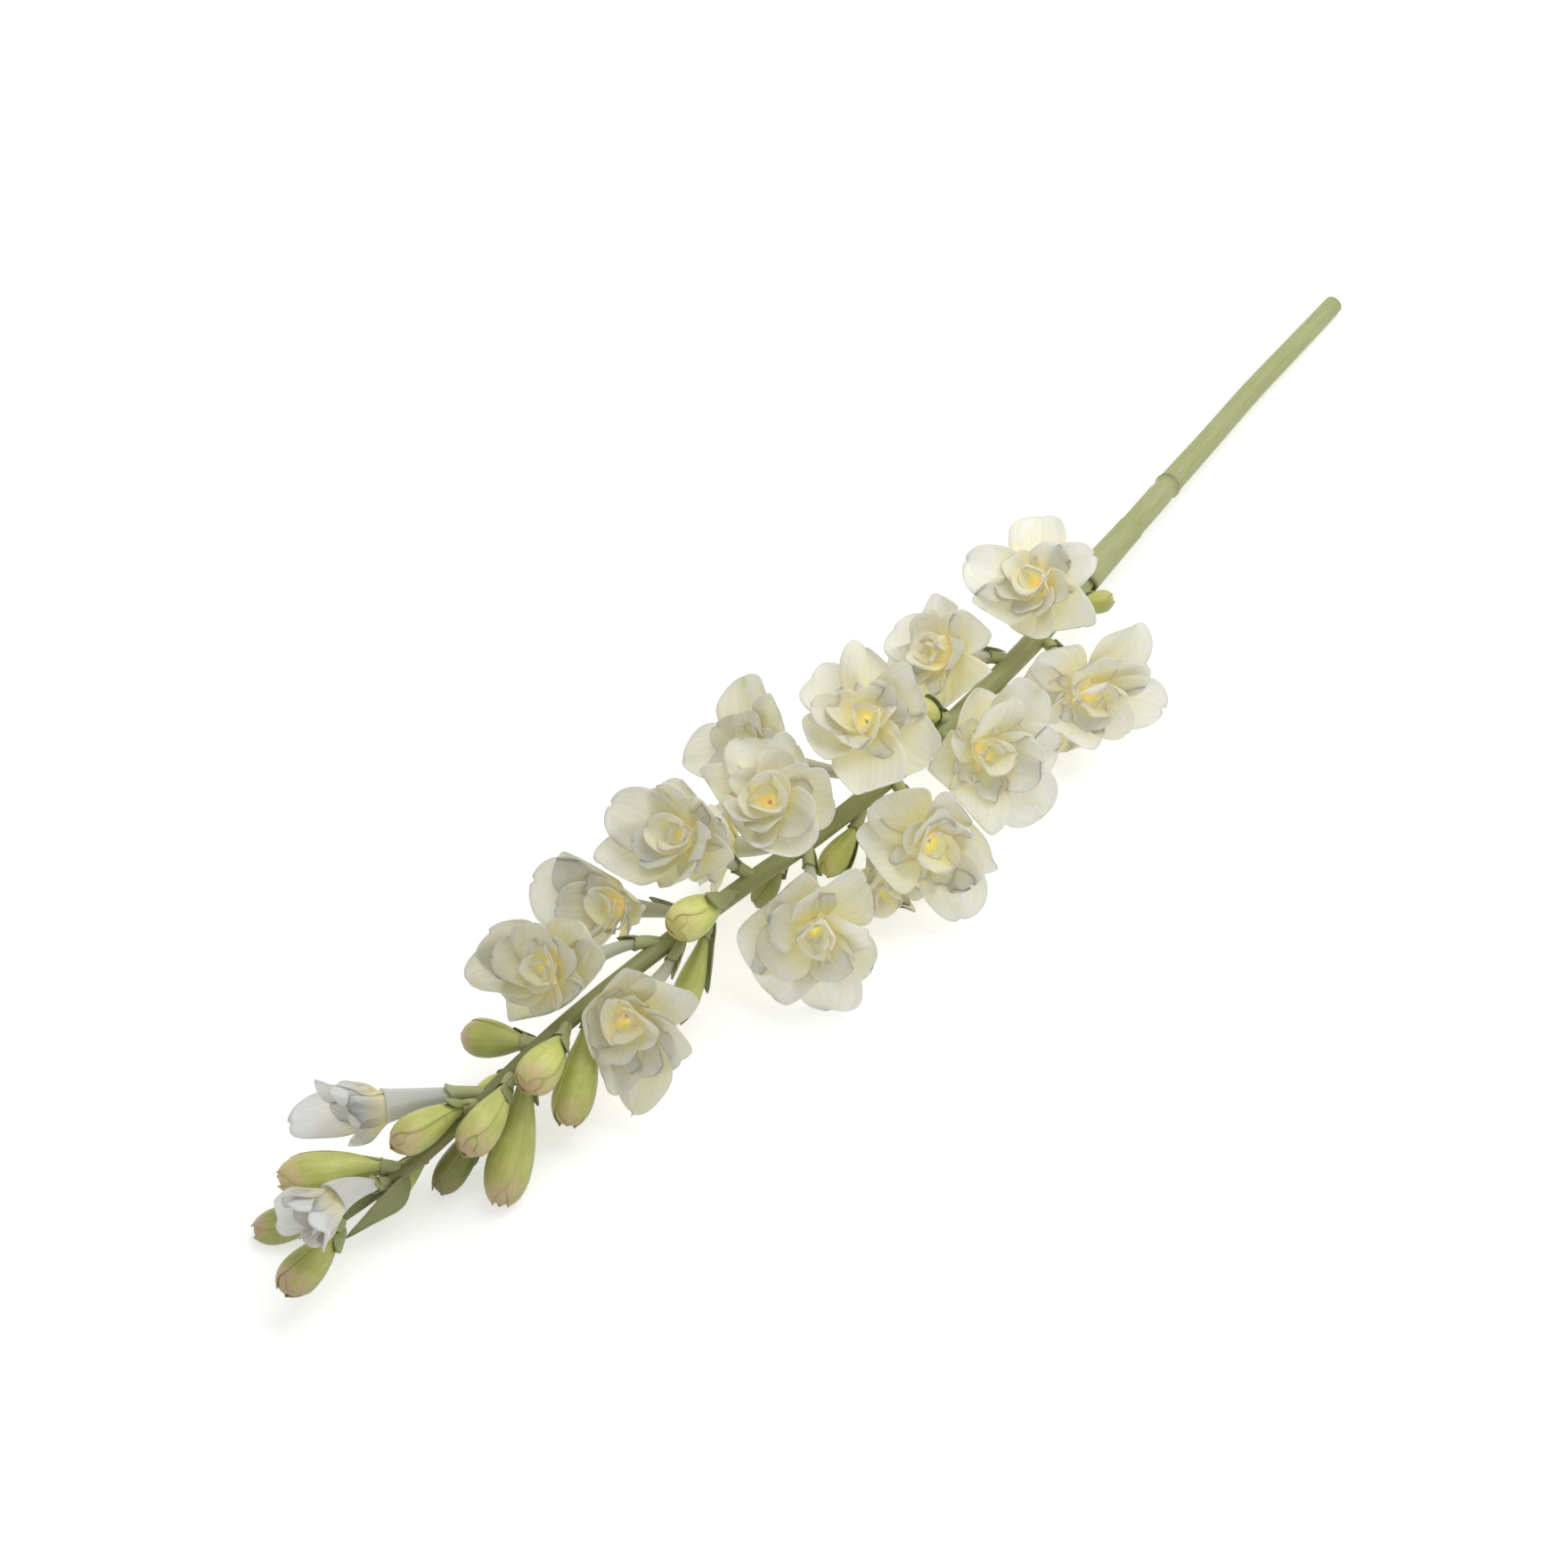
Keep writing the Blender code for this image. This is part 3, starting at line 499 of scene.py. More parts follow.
petalLook = {
    "columns": 14,
    "rows": 17,
    "wall": 0.35,                 # millimetres, about what a real petal has
    "stretch": 1.08,              # length as made, against the table's
    "inwardStretch": 0.38,        # what a petal that reaches back over the stem is longer by
    "outerSpread": 0.76,          # width as a share of length
    "slimSpread": {"bloom_15": 0.5, "bloom_16": 0.6},  # the two that are only half open
    "ruffle": 1.3,                # height of the waves on a petal's edge
    "waves": (1.1, 2.1),          # how many of them an edge has
    "rib": 0.35,                  # depth of the channel along the middle
    "tilt": 0.22,                 # one edge lies over the neighbour, the other under
    "bend": 0.05,                 # sideways, as a share of length
    "notch": 0.05,
    "skew": 0.12,
    "twist": 0.28,
    "crumple": (0.4, 0.9),
    "ease": 1.5,                  # how softly a petal bends back from a neighbour
    "overreach": 6,               # past this a petal that meets a neighbour head on is made shorter
    "headOn": 0.3,
    "shortest": 0.78,             # but never below this share of its length
    "tubeColumns": 28,
    "tubeRows": 22,
    "tubeInset": 0.35,            # the tube's wall, inside the floret's girth
    "tubeLobes": 0.16,
    "outer": {"ring": 0.8, "sink": 2.4, "deeper": 0.8, "longer": 1.5, "wider": 1, "arch": 34,
              "archChange": (-8, 8), "cup": 0.2, "curl": (-12, 22), "green": (0.2, 1.0)},
    "middle": {"ring": 2.9, "sink": 1.6, "arch": 32, "archChange": (-10, 14), "cup": 0.13,
               "turn": (-9, 9), "length": (0.58, 0.92), "lean": (0.55, 0.92), "width": (0.74, 0.96),
               "curl": (-25, 25), "ruffle": 1.2},
    "inner": {"count": 3, "length": 16, "width": 16.5, "lean": 40, "ring": 2.2, "sink": 1.4, "arch": 34,
              "cup": 0.6},
    "core": {"count": 3, "length": 10.5, "width": 11, "lean": 28, "ring": 1.4, "sink": 1.2, "arch": 40,
             "cup": 0.7},
    "inside": {"turn": (-20, 20), "lean": (-22, 22), "length": (0.72, 1.15), "width": (0.88, 1.1),
               "arch": (-14, 14), "cup": (0.5, 1.4), "curl": (-20, 34), "ruffle": 1.25},
    "white": (0.915, 0.905, 0.745),
    "cream": (0.90, 0.85, 0.48),
    "edge": (0.94, 0.935, 0.87),
    # cool: the cool white of the half-open blooms, also used for painted highlights
    "cool": (0.88, 0.88, 0.87),
    # lilac: used only for painted highlights
    "lilac": (0.91, 0.89, 0.95),
    "blushEdge": (0.96, 0.86, 0.70),
    "throat": (0.91, 0.84, 0.31),
    "throatDeep": (0.94, 0.64, 0.26),
    "green": (0.46, 0.52, 0.22),
    "tube": (0.84, 0.83, 0.62),
    "tubeWhite": (0.90, 0.90, 0.84),
    "coolBelow": -0.2,            # a bloom with less warmth than this is the cool white kind
    "cloudSize": 9.0,             # millimetres, of the soft patches and of the fine grain
    "grainSize": 1.6,
    "shade": {"all": 0.64, "vein": 0.26, "fine": 0.09, "chance": 0.06, "margin": 0.17},
    "glow": 0.02,                 # painted glow: emission that stands in for the light that comes through a petal from behind
    # more painted glow deep in the flower
    "deepGlow": 0.19,
    "relief": 0.0006,             # metres
    "seed": 40,
}
petalMarks = ("along", "across", "whorl", "chance", "green")


def petalGrid(x, y):              # a square grid's points as share of length, and place across from -1 to 1
    discX = x * np.sqrt(1 - y * y / 2)
    discY = y * np.sqrt(1 - x * x / 2)
    across = np.clip(discX / np.sqrt(np.clip(1 - discY ** 2, 1e-9, None)), -1, 1)
    return (discY + 1) / 2, across


def addPetal(bm, layers, floret, turn, shape, room, rng):
    look = petalLook
    face = floret.face
    radial = turned(face, turn)
    side = np.cross(face, radial)
    root = floret.end - face * shape["sink"] + radial * shape["ring"]
    tilt = math.radians(shape["lean"])
    length = shortened(root, radial * math.sin(tilt) + face * math.cos(tilt), shape["length"], room)
    samples = np.linspace(0, 1, 41)
    curl = shape["curl"] * rise(samples, 0.65, 0.35) ** 2
    lean = np.radians(shape["lean"] + shape["arch"] * (samples - 0.5) + curl)
    step = length / (len(samples) - 1)
    ahead = np.concatenate(((0,), np.cumsum((np.cos(lean[1:]) + np.cos(lean[:-1])) / 2 * step)))
    outward = np.concatenate(((0,), np.cumsum((np.sin(lean[1:]) + np.sin(lean[:-1])) / 2 * step)))
    bend = rng.uniform(-1, 1) * length * look["bend"]
    phases = rng.uniform(0, 2 * math.pi, 6)
    waves = rng.uniform(*look["waves"], 2)
    notch = rng.uniform(0.0, look["notch"])
    skew = rng.uniform(-look["skew"], look["skew"])
    twist = rng.uniform(-look["twist"], look["twist"])
    crumple = rng.uniform(*look["crumple"])

    def place(x, y):
        t, u = petalGrid(x, y)
        low = 0.2 + 0.8 * np.sin(math.pi * np.minimum(t, 0.5))
        high = np.sqrt(np.clip(1 - rise(t, 0.5, 0.5) ** 2.5, 0, None))
        half = shape["width"] / 2 * np.where(t < 0.5, low, high)
        half = half * (1 + skew * u)
        reach = t - notch * np.exp(-(u / 0.25) ** 2) * rise(t, 0.8, 0.2)
        angle = np.interp(reach, samples, lean)
        at = (root + face * np.interp(reach, samples, ahead)[:, None]
              + radial * np.interp(reach, samples, outward)[:, None])
        normal = face * np.sin(angle)[:, None] - radial * np.cos(angle)[:, None]
        edge = np.abs(u) ** 2.5
        wave = np.where(u > 0, np.sin(2 * math.pi * waves[0] * t + phases[0]),
                        np.sin(2 * math.pi * waves[1] * t + phases[1]))
        lift = shape["cup"] * (1 + 1.6 * (1 - t) ** 2) * half * u * u + look["tilt"] * half * u
        lift = lift + look["ruffle"] * shape["ruffle"] * wave * edge * np.sqrt(t)
        lift = lift - look["rib"] * np.exp(-(u / 0.16) ** 2) * np.sin(math.pi * np.clip(t, 0, 1))
        lift = lift + twist * half * u * t * 1.4
        lift = lift + crumple * np.sin(3.5 * u + phases[2]) * np.sin(5 * t + phases[3]) * t
        at = at + side * (half * u + bend * t * t)[:, None] + normal * lift[:, None]
        return heldIn(at, room)

    def marks(x, y):
        along, across = petalGrid(x, y)
        return {"along": along, "across": across, "whorl": shape["whorl"], "chance": shape["chance"],
                "green": shape["green"]}

    bentGrid(bm, layers, look["columns"], look["rows"], place, marks)


def petalFinish(name, warmth, toneAndPaintedShade):
    look = petalLook
    finish = Finish(name, Roughness=0.55, Subsurface_Weight=0.7, Subsurface_Scale=0.0025,
                    Subsurface_Radius=(1.0, 0.97, 0.9), Specular_IOR_Level=0.35, Sheen_Weight=0.12,
                    Emission_Strength=1.0)
    isCool = warmth < look["coolBelow"]
    along, across, whorl, chance, green = finish.attributes(*petalMarks)
    spot = finish.place()
    cloud = finish.noise(spot, look["cloudSize"], 2.0)
    fine = finish.noise(spot, look["grainSize"], 4.0, 0.6)
    veinWhere = finish.point(across * 7 + chance * 60, along * 1.1 + chance * 20, whorl)
    vein = finish.noise(veinWhere, 1.0, 3.0, 0.55)
    rim = abs(across) ** 4
    pale = look["cool"] if isCool else look["white"]
    body = finish.blend((1 - along) * 0.7 + cloud * 0.6 - 0.2 + warmth, pale, look["cream"])
    body = finish.blend(rim * 0.35 + along.step(0.88, 1.0) * 0.25, body, look["edge"])
    inward = whorl.step(1.4, 3.8)  # 0 on the outer petals, 1 at the core
    deep = along.step(0.8, 0.05) * (0.5 + inward * 0.4) + inward * (0.6 - along * 0.3)
    body = finish.blend(deep * (0.6 + cloud * 0.7), body, look["throat"])
    hot = along.step(0.6, 0.0) * (0.15 + inward * 0.7) * cloud.step(0.42, 0.58)
    body = finish.blend(hot, body, look["throatDeep"])
    body = finish.blend((rim + along.step(0.85, 1.0)) * inward * 0.5, body, look["blushEdge"])
    rib = abs(across).step(0.5, 0.0) * along.step(0.35, 0.9) * green
    body = finish.blend(rib * 0.8 + green * along.step(0.75, 1.0) * 0.45, body, look["green"])
    tubeHere = whorl.step(0.6, 0.4)
    tube = look["tubeWhite"] if isCool else look["tube"]
    body = finish.blend(tubeHere, body, finish.blend(along.step(0.34, 0.0) * 0.6, tube, look["green"]))
    # painted highlight: a cooler white towards the tips of some outer and middle petals, and lilac patches
    # towards the petals' tips
    cool = chance.step(0.55, 0.95) * whorl.step(2.8, 1.8) * 0.25
    body = finish.blend(cool * along.step(0.1, 0.6), body, look["cool"])
    body = finish.blend(cloud.step(0.5, 0.62) * along.step(0.35, 0.7) * 0.4, body, look["lilac"])
    part = look["shade"]
    shade = part["all"] + vein * part["vein"] + fine * part["fine"] + chance * part["chance"]
    # darker at the margins and the tip: partly the thinner margins' own greyer tone, partly painted shade
    # that outlines each petal
    margin = (abs(across) ** 5 + along.step(0.93, 1.0)) * (1 - tubeHere)
    shade = shade * (1 - margin * part["margin"])
    # the bloom's brightness factor here is painted shade
    finish.wear("Base Color", finish.scaled(body, shade * toneAndPaintedShade))
    # painted glow: emission in each petal's own colour, faint everywhere and stronger deep in the flower
    paintedGlow = look["glow"] + deep * look["deepGlow"] * (1 - tubeHere)
    finish.wear("Emission Color", finish.scaled(body, paintedGlow))
    finish.wear("Roughness", 0.5 + fine * 0.14 - rim * 0.06)
    finish.bump(vein * 1.1 + fine * 0.25 + cloud * 0.5, 0.4, look["relief"])
    return finish.material


bloomTones = {                    # warmth, brightness and how green the outer petals' ribs are; the brightness is painted shade, lower on the blooms that lie in weaker light
    "bloom_01": (0.00, 1.0, 0.1), "bloom_02": (-0.10, 1.0, 0.2), "bloom_03": (0.10, 0.97, 0.1),
    "bloom_04": (0.05, 0.98, 0.4), "bloom_05": (-0.05, 1.0, 0.5), "bloom_06": (-0.05, 0.98, 0.5),
    "bloom_07": (0.10, 0.93, 0.2), "bloom_08": (0.15, 0.86, 0.6), "bloom_09": (0.10, 0.90, 0.2),
    "bloom_10": (0.10, 0.88, 0.2), "bloom_11": (0.20, 0.84, 0.2), "bloom_12": (0.20, 0.86, 0.2),
    "bloom_13": (0.05, 0.97, 0.4), "bloom_14": (0.10, 0.95, 0.2), "bloom_15": (-0.30, 0.90, 0.1),
    "bloom_16": (-0.30, 0.86, 0.2), "bloom_17": (0.10, 0.95, 0.2), "bloom_18": (0.10, 0.95, 0.3),
}


def addTube(bm, layers, floret, rng):
    look = petalLook
    lobes = rng.uniform(0, 2 * math.pi)

    def place(x, y):
        share = (y + 1) / 2
        angle = math.pi * (x + 1)
        radius = floret.girth(share) - look["tubeInset"]
        radius = radius + look["tubeLobes"] * np.cos(6 * angle + lobes) * share
        return alongAxis(floret, share * (1 - 0.012) + 0.012, angle, radius)[0]

    def marks(x, y):
        return {"along": (y + 1) / 2, "across": np.sin(3 * math.pi * (x + 1)), "whorl": 0.0,
                "chance": 0.5, "green": 0.0}

    bentGrid(bm, layers, look["tubeColumns"], look["tubeRows"], place, marks, True)


def outerPetals(floret, petals, greenness, rng):
    look = petalLook
    part = look["outer"]
    spread = look["slimSpread"].get(floret.name, look["outerSpread"])
    for k, (turn, lean, length) in enumerate(petals):
        inward = max(-(turned(floret.face, turn) @ floret.radial), 0)
        longer = longerPetals.get((floret.name, turn), 1.0)
        long = length * (look["stretch"] + look["inwardStretch"] * inward) * longer + part["longer"]
        yield turn, {
            "lean": lean, "length": long, "width": spread * long / math.sqrt(longer) + part["wider"],
            "ring": floret.girth(1.0) * part["ring"], "sink": part["sink"] + part["deeper"] * (k % 2),
            "arch": part["arch"] + rng.uniform(*part["archChange"]), "cup": part["cup"], "whorl": 1.0,
            "chance": rng.uniform(0, 1), "curl": rng.uniform(*part["curl"]), "ruffle": 1.0,
            "green": greenness * rng.uniform(*part["green"])}


def middlePetals(petals, step, rng):
    part = petalLook["middle"]
    for k in range(0, len(petals), step):
        turn, lean, length = petals[k]
        nextTurn, nextLean, nextLength = petals[(k + 1) % len(petals)]
        between = turn + ((nextTurn - turn) % 360) / 2 + rng.uniform(*part["turn"])
        long = (length + nextLength) / 2 * rng.uniform(*part["length"])
        yield between, {
            "lean": (lean + nextLean) / 2 * rng.uniform(*part["lean"]), "length": long,
            "width": long * rng.uniform(*part["width"]),
            "arch": part["arch"] + rng.uniform(*part["archChange"]), "cup": part["cup"], "whorl": 2.0,
            "chance": rng.uniform(0, 1), "curl": rng.uniform(*part["curl"]), "ruffle": part["ruffle"],
            "green": 0.0, "ring": part["ring"], "sink": part["sink"]}


def insidePetals(part, whorl, first, openness, rng):
    change = petalLook["inside"]
    size = min(1.0, 0.45 + 0.6 * openness)
    for k in range(part["count"]):
        turn = first + 360 / part["count"] * k + rng.uniform(*change["turn"]) + 25 * whorl
        yield turn, {
            "lean": part["lean"] * openness + rng.uniform(*change["lean"]),
            "length": part["length"] * size * rng.uniform(*change["length"]),
            "width": part["width"] * size * rng.uniform(*change["width"]),
            "arch": part["arch"] + rng.uniform(*change["arch"]),
            "cup": part["cup"] * rng.uniform(*change["cup"]), "whorl": whorl,
            "chance": rng.uniform(0, 1), "curl": rng.uniform(*change["curl"]), "ruffle": change["ruffle"],
            "green": 0.0, "ring": part["ring"], "sink": part["sink"]}


def buildBloom(floret, petals, seed):
    look = petalLook
    rng = np.random.default_rng(seed)
    bm, layers = newMesh(petalMarks)
    warmth, toneAndPaintedShade, greenness = bloomTones[floret.name]
    stemPlane = (-floret.radial, -(floret.origin @ floret.radial) - floret.stemRadius - 0.6)
    room = planes[floret.name] + [stemPlane]
    slim = floret.name in look["slimSpread"]
    addTube(bm, layers, floret, rng)
    shapes = list(outerPetals(floret, petals, greenness, rng))
    shapes += middlePetals(petals, 2 if slim else 1, rng)
    if not slim:
        first = petals[0][0] + 30
        openness = np.mean([lean for turn, lean, length in petals]) / 80
        shapes += insidePetals(look["inner"], 3.0, first, openness, rng)
        shapes += insidePetals(look["core"], 4.0, first, openness, rng)
    for turn, shape in shapes:
        addPetal(bm, layers, floret, turn, shape, room, rng)
    material = petalFinish("petalOf" + floret.name[-2:], warmth, toneAndPaintedShade)
    finishPiece(floret.name + "_petals", bm, floret.name, material, look["wall"])


def shortened(base, way, length, room):  # a petal's tip ends near its own side of each plane
    look = petalLook
    best = length
    for normal, level in room:
        over = (base + way * length) @ normal - level - look["overreach"]
        if over > 0 and way @ normal > look["headOn"]:
            best = min(best, max(length - over / (way @ normal), length * look["shortest"]))
    return best


def heldIn(points, room):         # between the planes, then above the floor
    half = petalLook["wall"] / 2
    out = holdBack(points, room, layout["clear"] + half, petalLook["ease"])
    return holdBack(out, [(np.array((0.0, 0.0, -1.0)), 0.0)], half + 0.1, 0.3)


for index, (name, row) in enumerate(bloomRows.items()):
    buildBloom(florets[name], row[6], petalLook["seed"] + index)
print("tuberose: blooms built", len(bloomRows))


budLook = {
    "columns": 40,
    "rows": 40,
    "coreInset": 0.55,            # the closed core, inside the bud's girth
    "tepalColumns": 16,
    "tepalRows": 30,
    "tepalInset": 0.37,
    "halfWidth": 78,              # degrees round the bud, of a tepal
    "lap": 0.5,                   # how far a tepal's free edge stands off the one it covers
    "tipLift": (0.0, 0.5),
    "tipCurl": (-0.4, 0.25),
    "wall": 0.4,
    "pale": (0.69, 0.72, 0.22),
    "green": (0.50, 0.55, 0.12),
    "neck": (0.57, 0.62, 0.22),
    "blush": (0.77, 0.53, 0.34),
    "tan": (0.54, 0.40, 0.20),
    "cloudSize": 7.0,
    "speckSize": 1.2,
    "underShade": 0.42,           # painted shade: how much darker the under side is
    "relief": 0.0004,
    "seed": 300,
}
budMarks = ("along", "around", "edge")

budTones = {                      # green, blush at the tip, brightness; the brightness is partly a bud's own darker tone and partly painted shade
    "bud_01": (0.5, 0.6, 1.0), "bud_02": (0.6, 0.5, 0.8), "bud_03": (0.4, 0.3, 0.9),
    "bud_04": (0.9, 0.5, 0.5), "bud_05": (0.0, 0.3, 1.15), "bud_06": (0.6, 0.9, 0.85),
    "bud_07": (0.5, 1.5, 0.8), "bud_08": (0.3, 0.8, 1.0), "bud_09": (0.6, 0.6, 0.85),
    "bud_10": (0.4, 0.9, 0.9), "bud_11": (0.5, 0.8, 0.85), "bud_12": (0.9, 0.6, 0.42),
    "bud_13": (0.3, 0.9, 0.9), "bud_14": (0.4, 0.9, 0.95), "bud_15": (0.6, 1.0, 0.72),
    "bud_16": (0.5, 1.0, 0.78), "bud_17": (0.4, 0.8, 0.9), "bud_18": (0.0, 0.1, 1.1),
}


def budFinish(name, greenness, blush, toneAndPaintedShade):
    look = budLook
    finish = Finish(name, Roughness=0.45, Subsurface_Weight=0.12, Subsurface_Scale=0.0015,
                    Subsurface_Radius=(0.8, 1.0, 0.4), Coat_Weight=0.12, Coat_Roughness=0.4)
    along, around, edge = finish.attributes(*budMarks)
    spot = finish.place()
    cloud = finish.noise(spot, look["cloudSize"], 3.0)
    speck = finish.noise(spot, look["speckSize"], 3.0, 0.6)
    streak = finish.noise(finish.point(around * 22, along * 2.2), 1 / 1.6, 3.0)
    body = finish.blend(cloud.step(0.3, 0.75) * 0.6 + (1 - greenness) * 0.5, look["green"], look["pale"])
    body = finish.blend(along.step(0.4, 0.0) * 0.7, body, look["neck"])
    tip = along.step(0.62, 1.0) * cloud.step(0.3, 0.6) * blush
    body = finish.blend(tip, body, look["blush"])
    body = finish.blend(along.step(0.92, 1.0) * blush * 0.5, body, look["tan"])
    body = finish.blend(edge * 0.5, body, look["pale"])
    # brightness: partly the bud's own tone, partly painted shade
    shade = (0.86 + streak * 0.36) * (0.95 + speck * 0.1) * toneAndPaintedShade
    # painted shade: the under side of each bud is darker
    finish.wear("Base Color", finish.scaled(body, shade * (1 - finish.paintedShadeBelow() * look["underShade"])))
    finish.wear("Roughness", 0.4 + speck * 0.15)
    finish.bump(streak * 0.8 + speck * 0.3, 0.3, look["relief"])
    return finish.material


def addBudCore(bm, layers, floret):
    look = budLook

    def place(x, y):
        share = np.clip((y + 1) / 2, 0, 1)
        ends = np.clip(np.minimum(share / 0.03, (1 - share) / 0.001), 0, 1)  # both poles closed
        radius = np.maximum(floret.girth(share) - look["coreInset"], 0.0) * ends
        return alongAxis(floret, 0.012 + share * 0.97, math.pi * (x + 1), radius)[0]

    def marks(x, y):
        return {"along": (y + 1) / 2, "around": (x + 1) / 2, "edge": 0.0}

    bentGrid(bm, layers, look["columns"], look["rows"], place, marks, True)


def addTepal(bm, layers, floret, k, middle, rng):
    look = budLook
    tipLift = rng.uniform(*look["tipLift"])
    curlOut = rng.uniform(*look["tipCurl"])

    def place(x, y):
        discY = y * np.sqrt(1 - 0.5 * x * x * np.clip(y, 0, 1))
        share = (discY + 1) / 2
        narrowing = np.clip(1 - rise(share, 0.62, 0.42) ** 2.2, 0, None)
        span = math.radians(look["halfWidth"]) * np.sqrt(narrowing)
        lap = look["lap"] * (x + 1) / 2 - 0.1
        radius = floret.girth(np.clip(share, 0, 0.985)) - look["tepalInset"]
        radius = radius + lap * np.clip(share * 3, 0, 1)
        radius = radius + curlOut * rise(share, 0.86, 0.14) ** 2
        lifted = 0.012 + share * 0.978
        spots, axis = alongAxis(floret, lifted, middle + x * span, np.maximum(radius, 0.15))
        return spots + axis * (tipLift * rise(share, 0.8, 0.2) ** 2)[:, None]

    def marks(x, y):
        edge = np.clip(np.abs(x) * 6 - 5, 0, 1)
        return {"along": (y + 1) / 2, "around": (x + 1) / 6 + k / 3, "edge": edge}

    bentGrid(bm, layers, look["tepalColumns"], look["tepalRows"], place, marks)


def buildBud(floret, seed):
    rng = np.random.default_rng(seed)
    bm, layers = newMesh(budMarks)
    offset = rng.uniform(0, 2 * math.pi)
    addBudCore(bm, layers, floret)
    for k in range(3):
        addTepal(bm, layers, floret, k, offset + 2 * math.pi * k / 3, rng)
    material = budFinish("budOf" + floret.name[-2:], *budTones[floret.name])
    finishPiece(floret.name + "_tepals", bm, floret.name, material, budLook["wall"])


for index, name in enumerate(budRows):
    buildBud(florets[name], budLook["seed"] + index)
print("tuberose: buds built", len(budRows))


stemLook = {
    "columns": 40,
    "rowStep": 1.6,               # millimetres between two rings
    "slimmer": 0.985,             # against the solid's radius, where the ribs stand out
    "ribs": 0.06,
    "joint": 161,                 # station of the joint on the bare stem
    "jointBulge": 0.85,
    "jointDip": 0.35,
    "scarSide": 5.6,              # where round the stem the joint's scar is darkest, in radians
    "darkens": ((255, 60, 0.8), (530, 50, 0.9)),  # from which station, over what length, how much
    "sheathStart": 196,
    "sheathEnd": 238,             # the sheath ends here in an open rim
    "sheathRows": 40,
    "rimSlant": (2.2, 0.9),       # height, and the side on which the rim is highest
    "rimWaves": 0.7,
    "flare": 0.55,
    "wall": 0.7,
    "cupHeight": {"bloom": 4.2, "bud": 2.6},
    "tallCups": {"bloom_15": 9.0},
    "cupGap": 0.32,
    "cupRim": 0.35,
    "cupWall": 0.35,
    "cupGrid": (20, 12),
    "cupSeed": 700,
    "bractWrap": 52,              # degrees of its floret that half a bract covers
    "bractShare": 0.88,
    "bractLift": 0.9,             # more than the gap in the solids, so that the two walls stay apart
    "bractCurl": (-0.5, 1.0),
    "bractWall": 0.45,
    "bractGrid": (10, 22),
    "bractSeed": 900,
    "green": (0.40, 0.43, 0.185),
    "pale": (0.47, 0.495, 0.25),
    "dark": (0.20, 0.21, 0.07),
    "brown": (0.17, 0.13, 0.06),
    "bract": (0.34, 0.40, 0.15),
    "patchSize": 22.0,
    "speckSize": 0.9,
    # painted shade on the under side of the stem and its parts
    "underPaintedShade": 0.5,
    "relief": 0.0004,
}
stemMarks = ("run", "around", "brown", "upper")


def stemFinish(name, base):
    look = stemLook
    finish = Finish(name, Roughness=0.5, Subsurface_Weight=0.06, Subsurface_Scale=0.001,
                    Subsurface_Radius=(0.8, 1.0, 0.4), Coat_Weight=0.08, Coat_Roughness=0.45)
    run, around, brown, upper = finish.attributes(*stemMarks)
    spot = finish.place()
    grain = finish.noise(finish.point(around * 60, run * 0.06), 1.0, 4.0)
    patch = finish.noise(spot, look["patchSize"], 3.0)
    speck = finish.noise(spot, look["speckSize"], 2.0)
    body = finish.blend(patch.step(0.35, 0.7) * 0.55 + grain * 0.35 - 0.1, base, look["pale"])
    body = finish.blend(grain.step(0.62, 0.36) * 0.25, body, look["dark"])
    # darker towards the tip and on patches, plus painted shade on the under side
    darker = upper * (0.35 + patch * 0.4) + finish.paintedShadeBelow() * look["underPaintedShade"]
    body = finish.blend(darker, body, look["dark"])
    body = finish.blend(speck.step(0.68, 0.78) * 0.35, body, look["pale"])
    body = finish.blend(brown, body, look["brown"])
    finish.wear("Base Color", body)
    finish.wear("Roughness", 0.42 + grain * 0.2 + brown * 0.2)
    finish.bump(grain * 0.9 + speck * 0.15, 0.35, look["relief"])
    return finish.material


def finishStemPiece(name, bm, materialName, colour, wall=0.0):
    finishPiece(name, bm, "stem", stemFinish(materialName, colour), wall)


crossWays = carriedAlong([stemWay(np.clip(run, 2, stemRun[-1] - 2)) for run in stemRun])
crossWays[:, 3:] = np.cross(crossWays[:, :3], crossWays[:, 3:])


def roundStem(stations, angles, radii):
    ways = readTable(stations, stemRun, crossWays)
    out = ways[:, :3] * np.cos(angles)[:, None] + ways[:, 3:] * np.sin(angles)[:, None]
    return readTable(stations, stemRun, stemLine[:, :3]) + out * radii[:, None]


def bareRadius(stations):
    return np.interp(stations, stemRun, stemLine[:, 3])


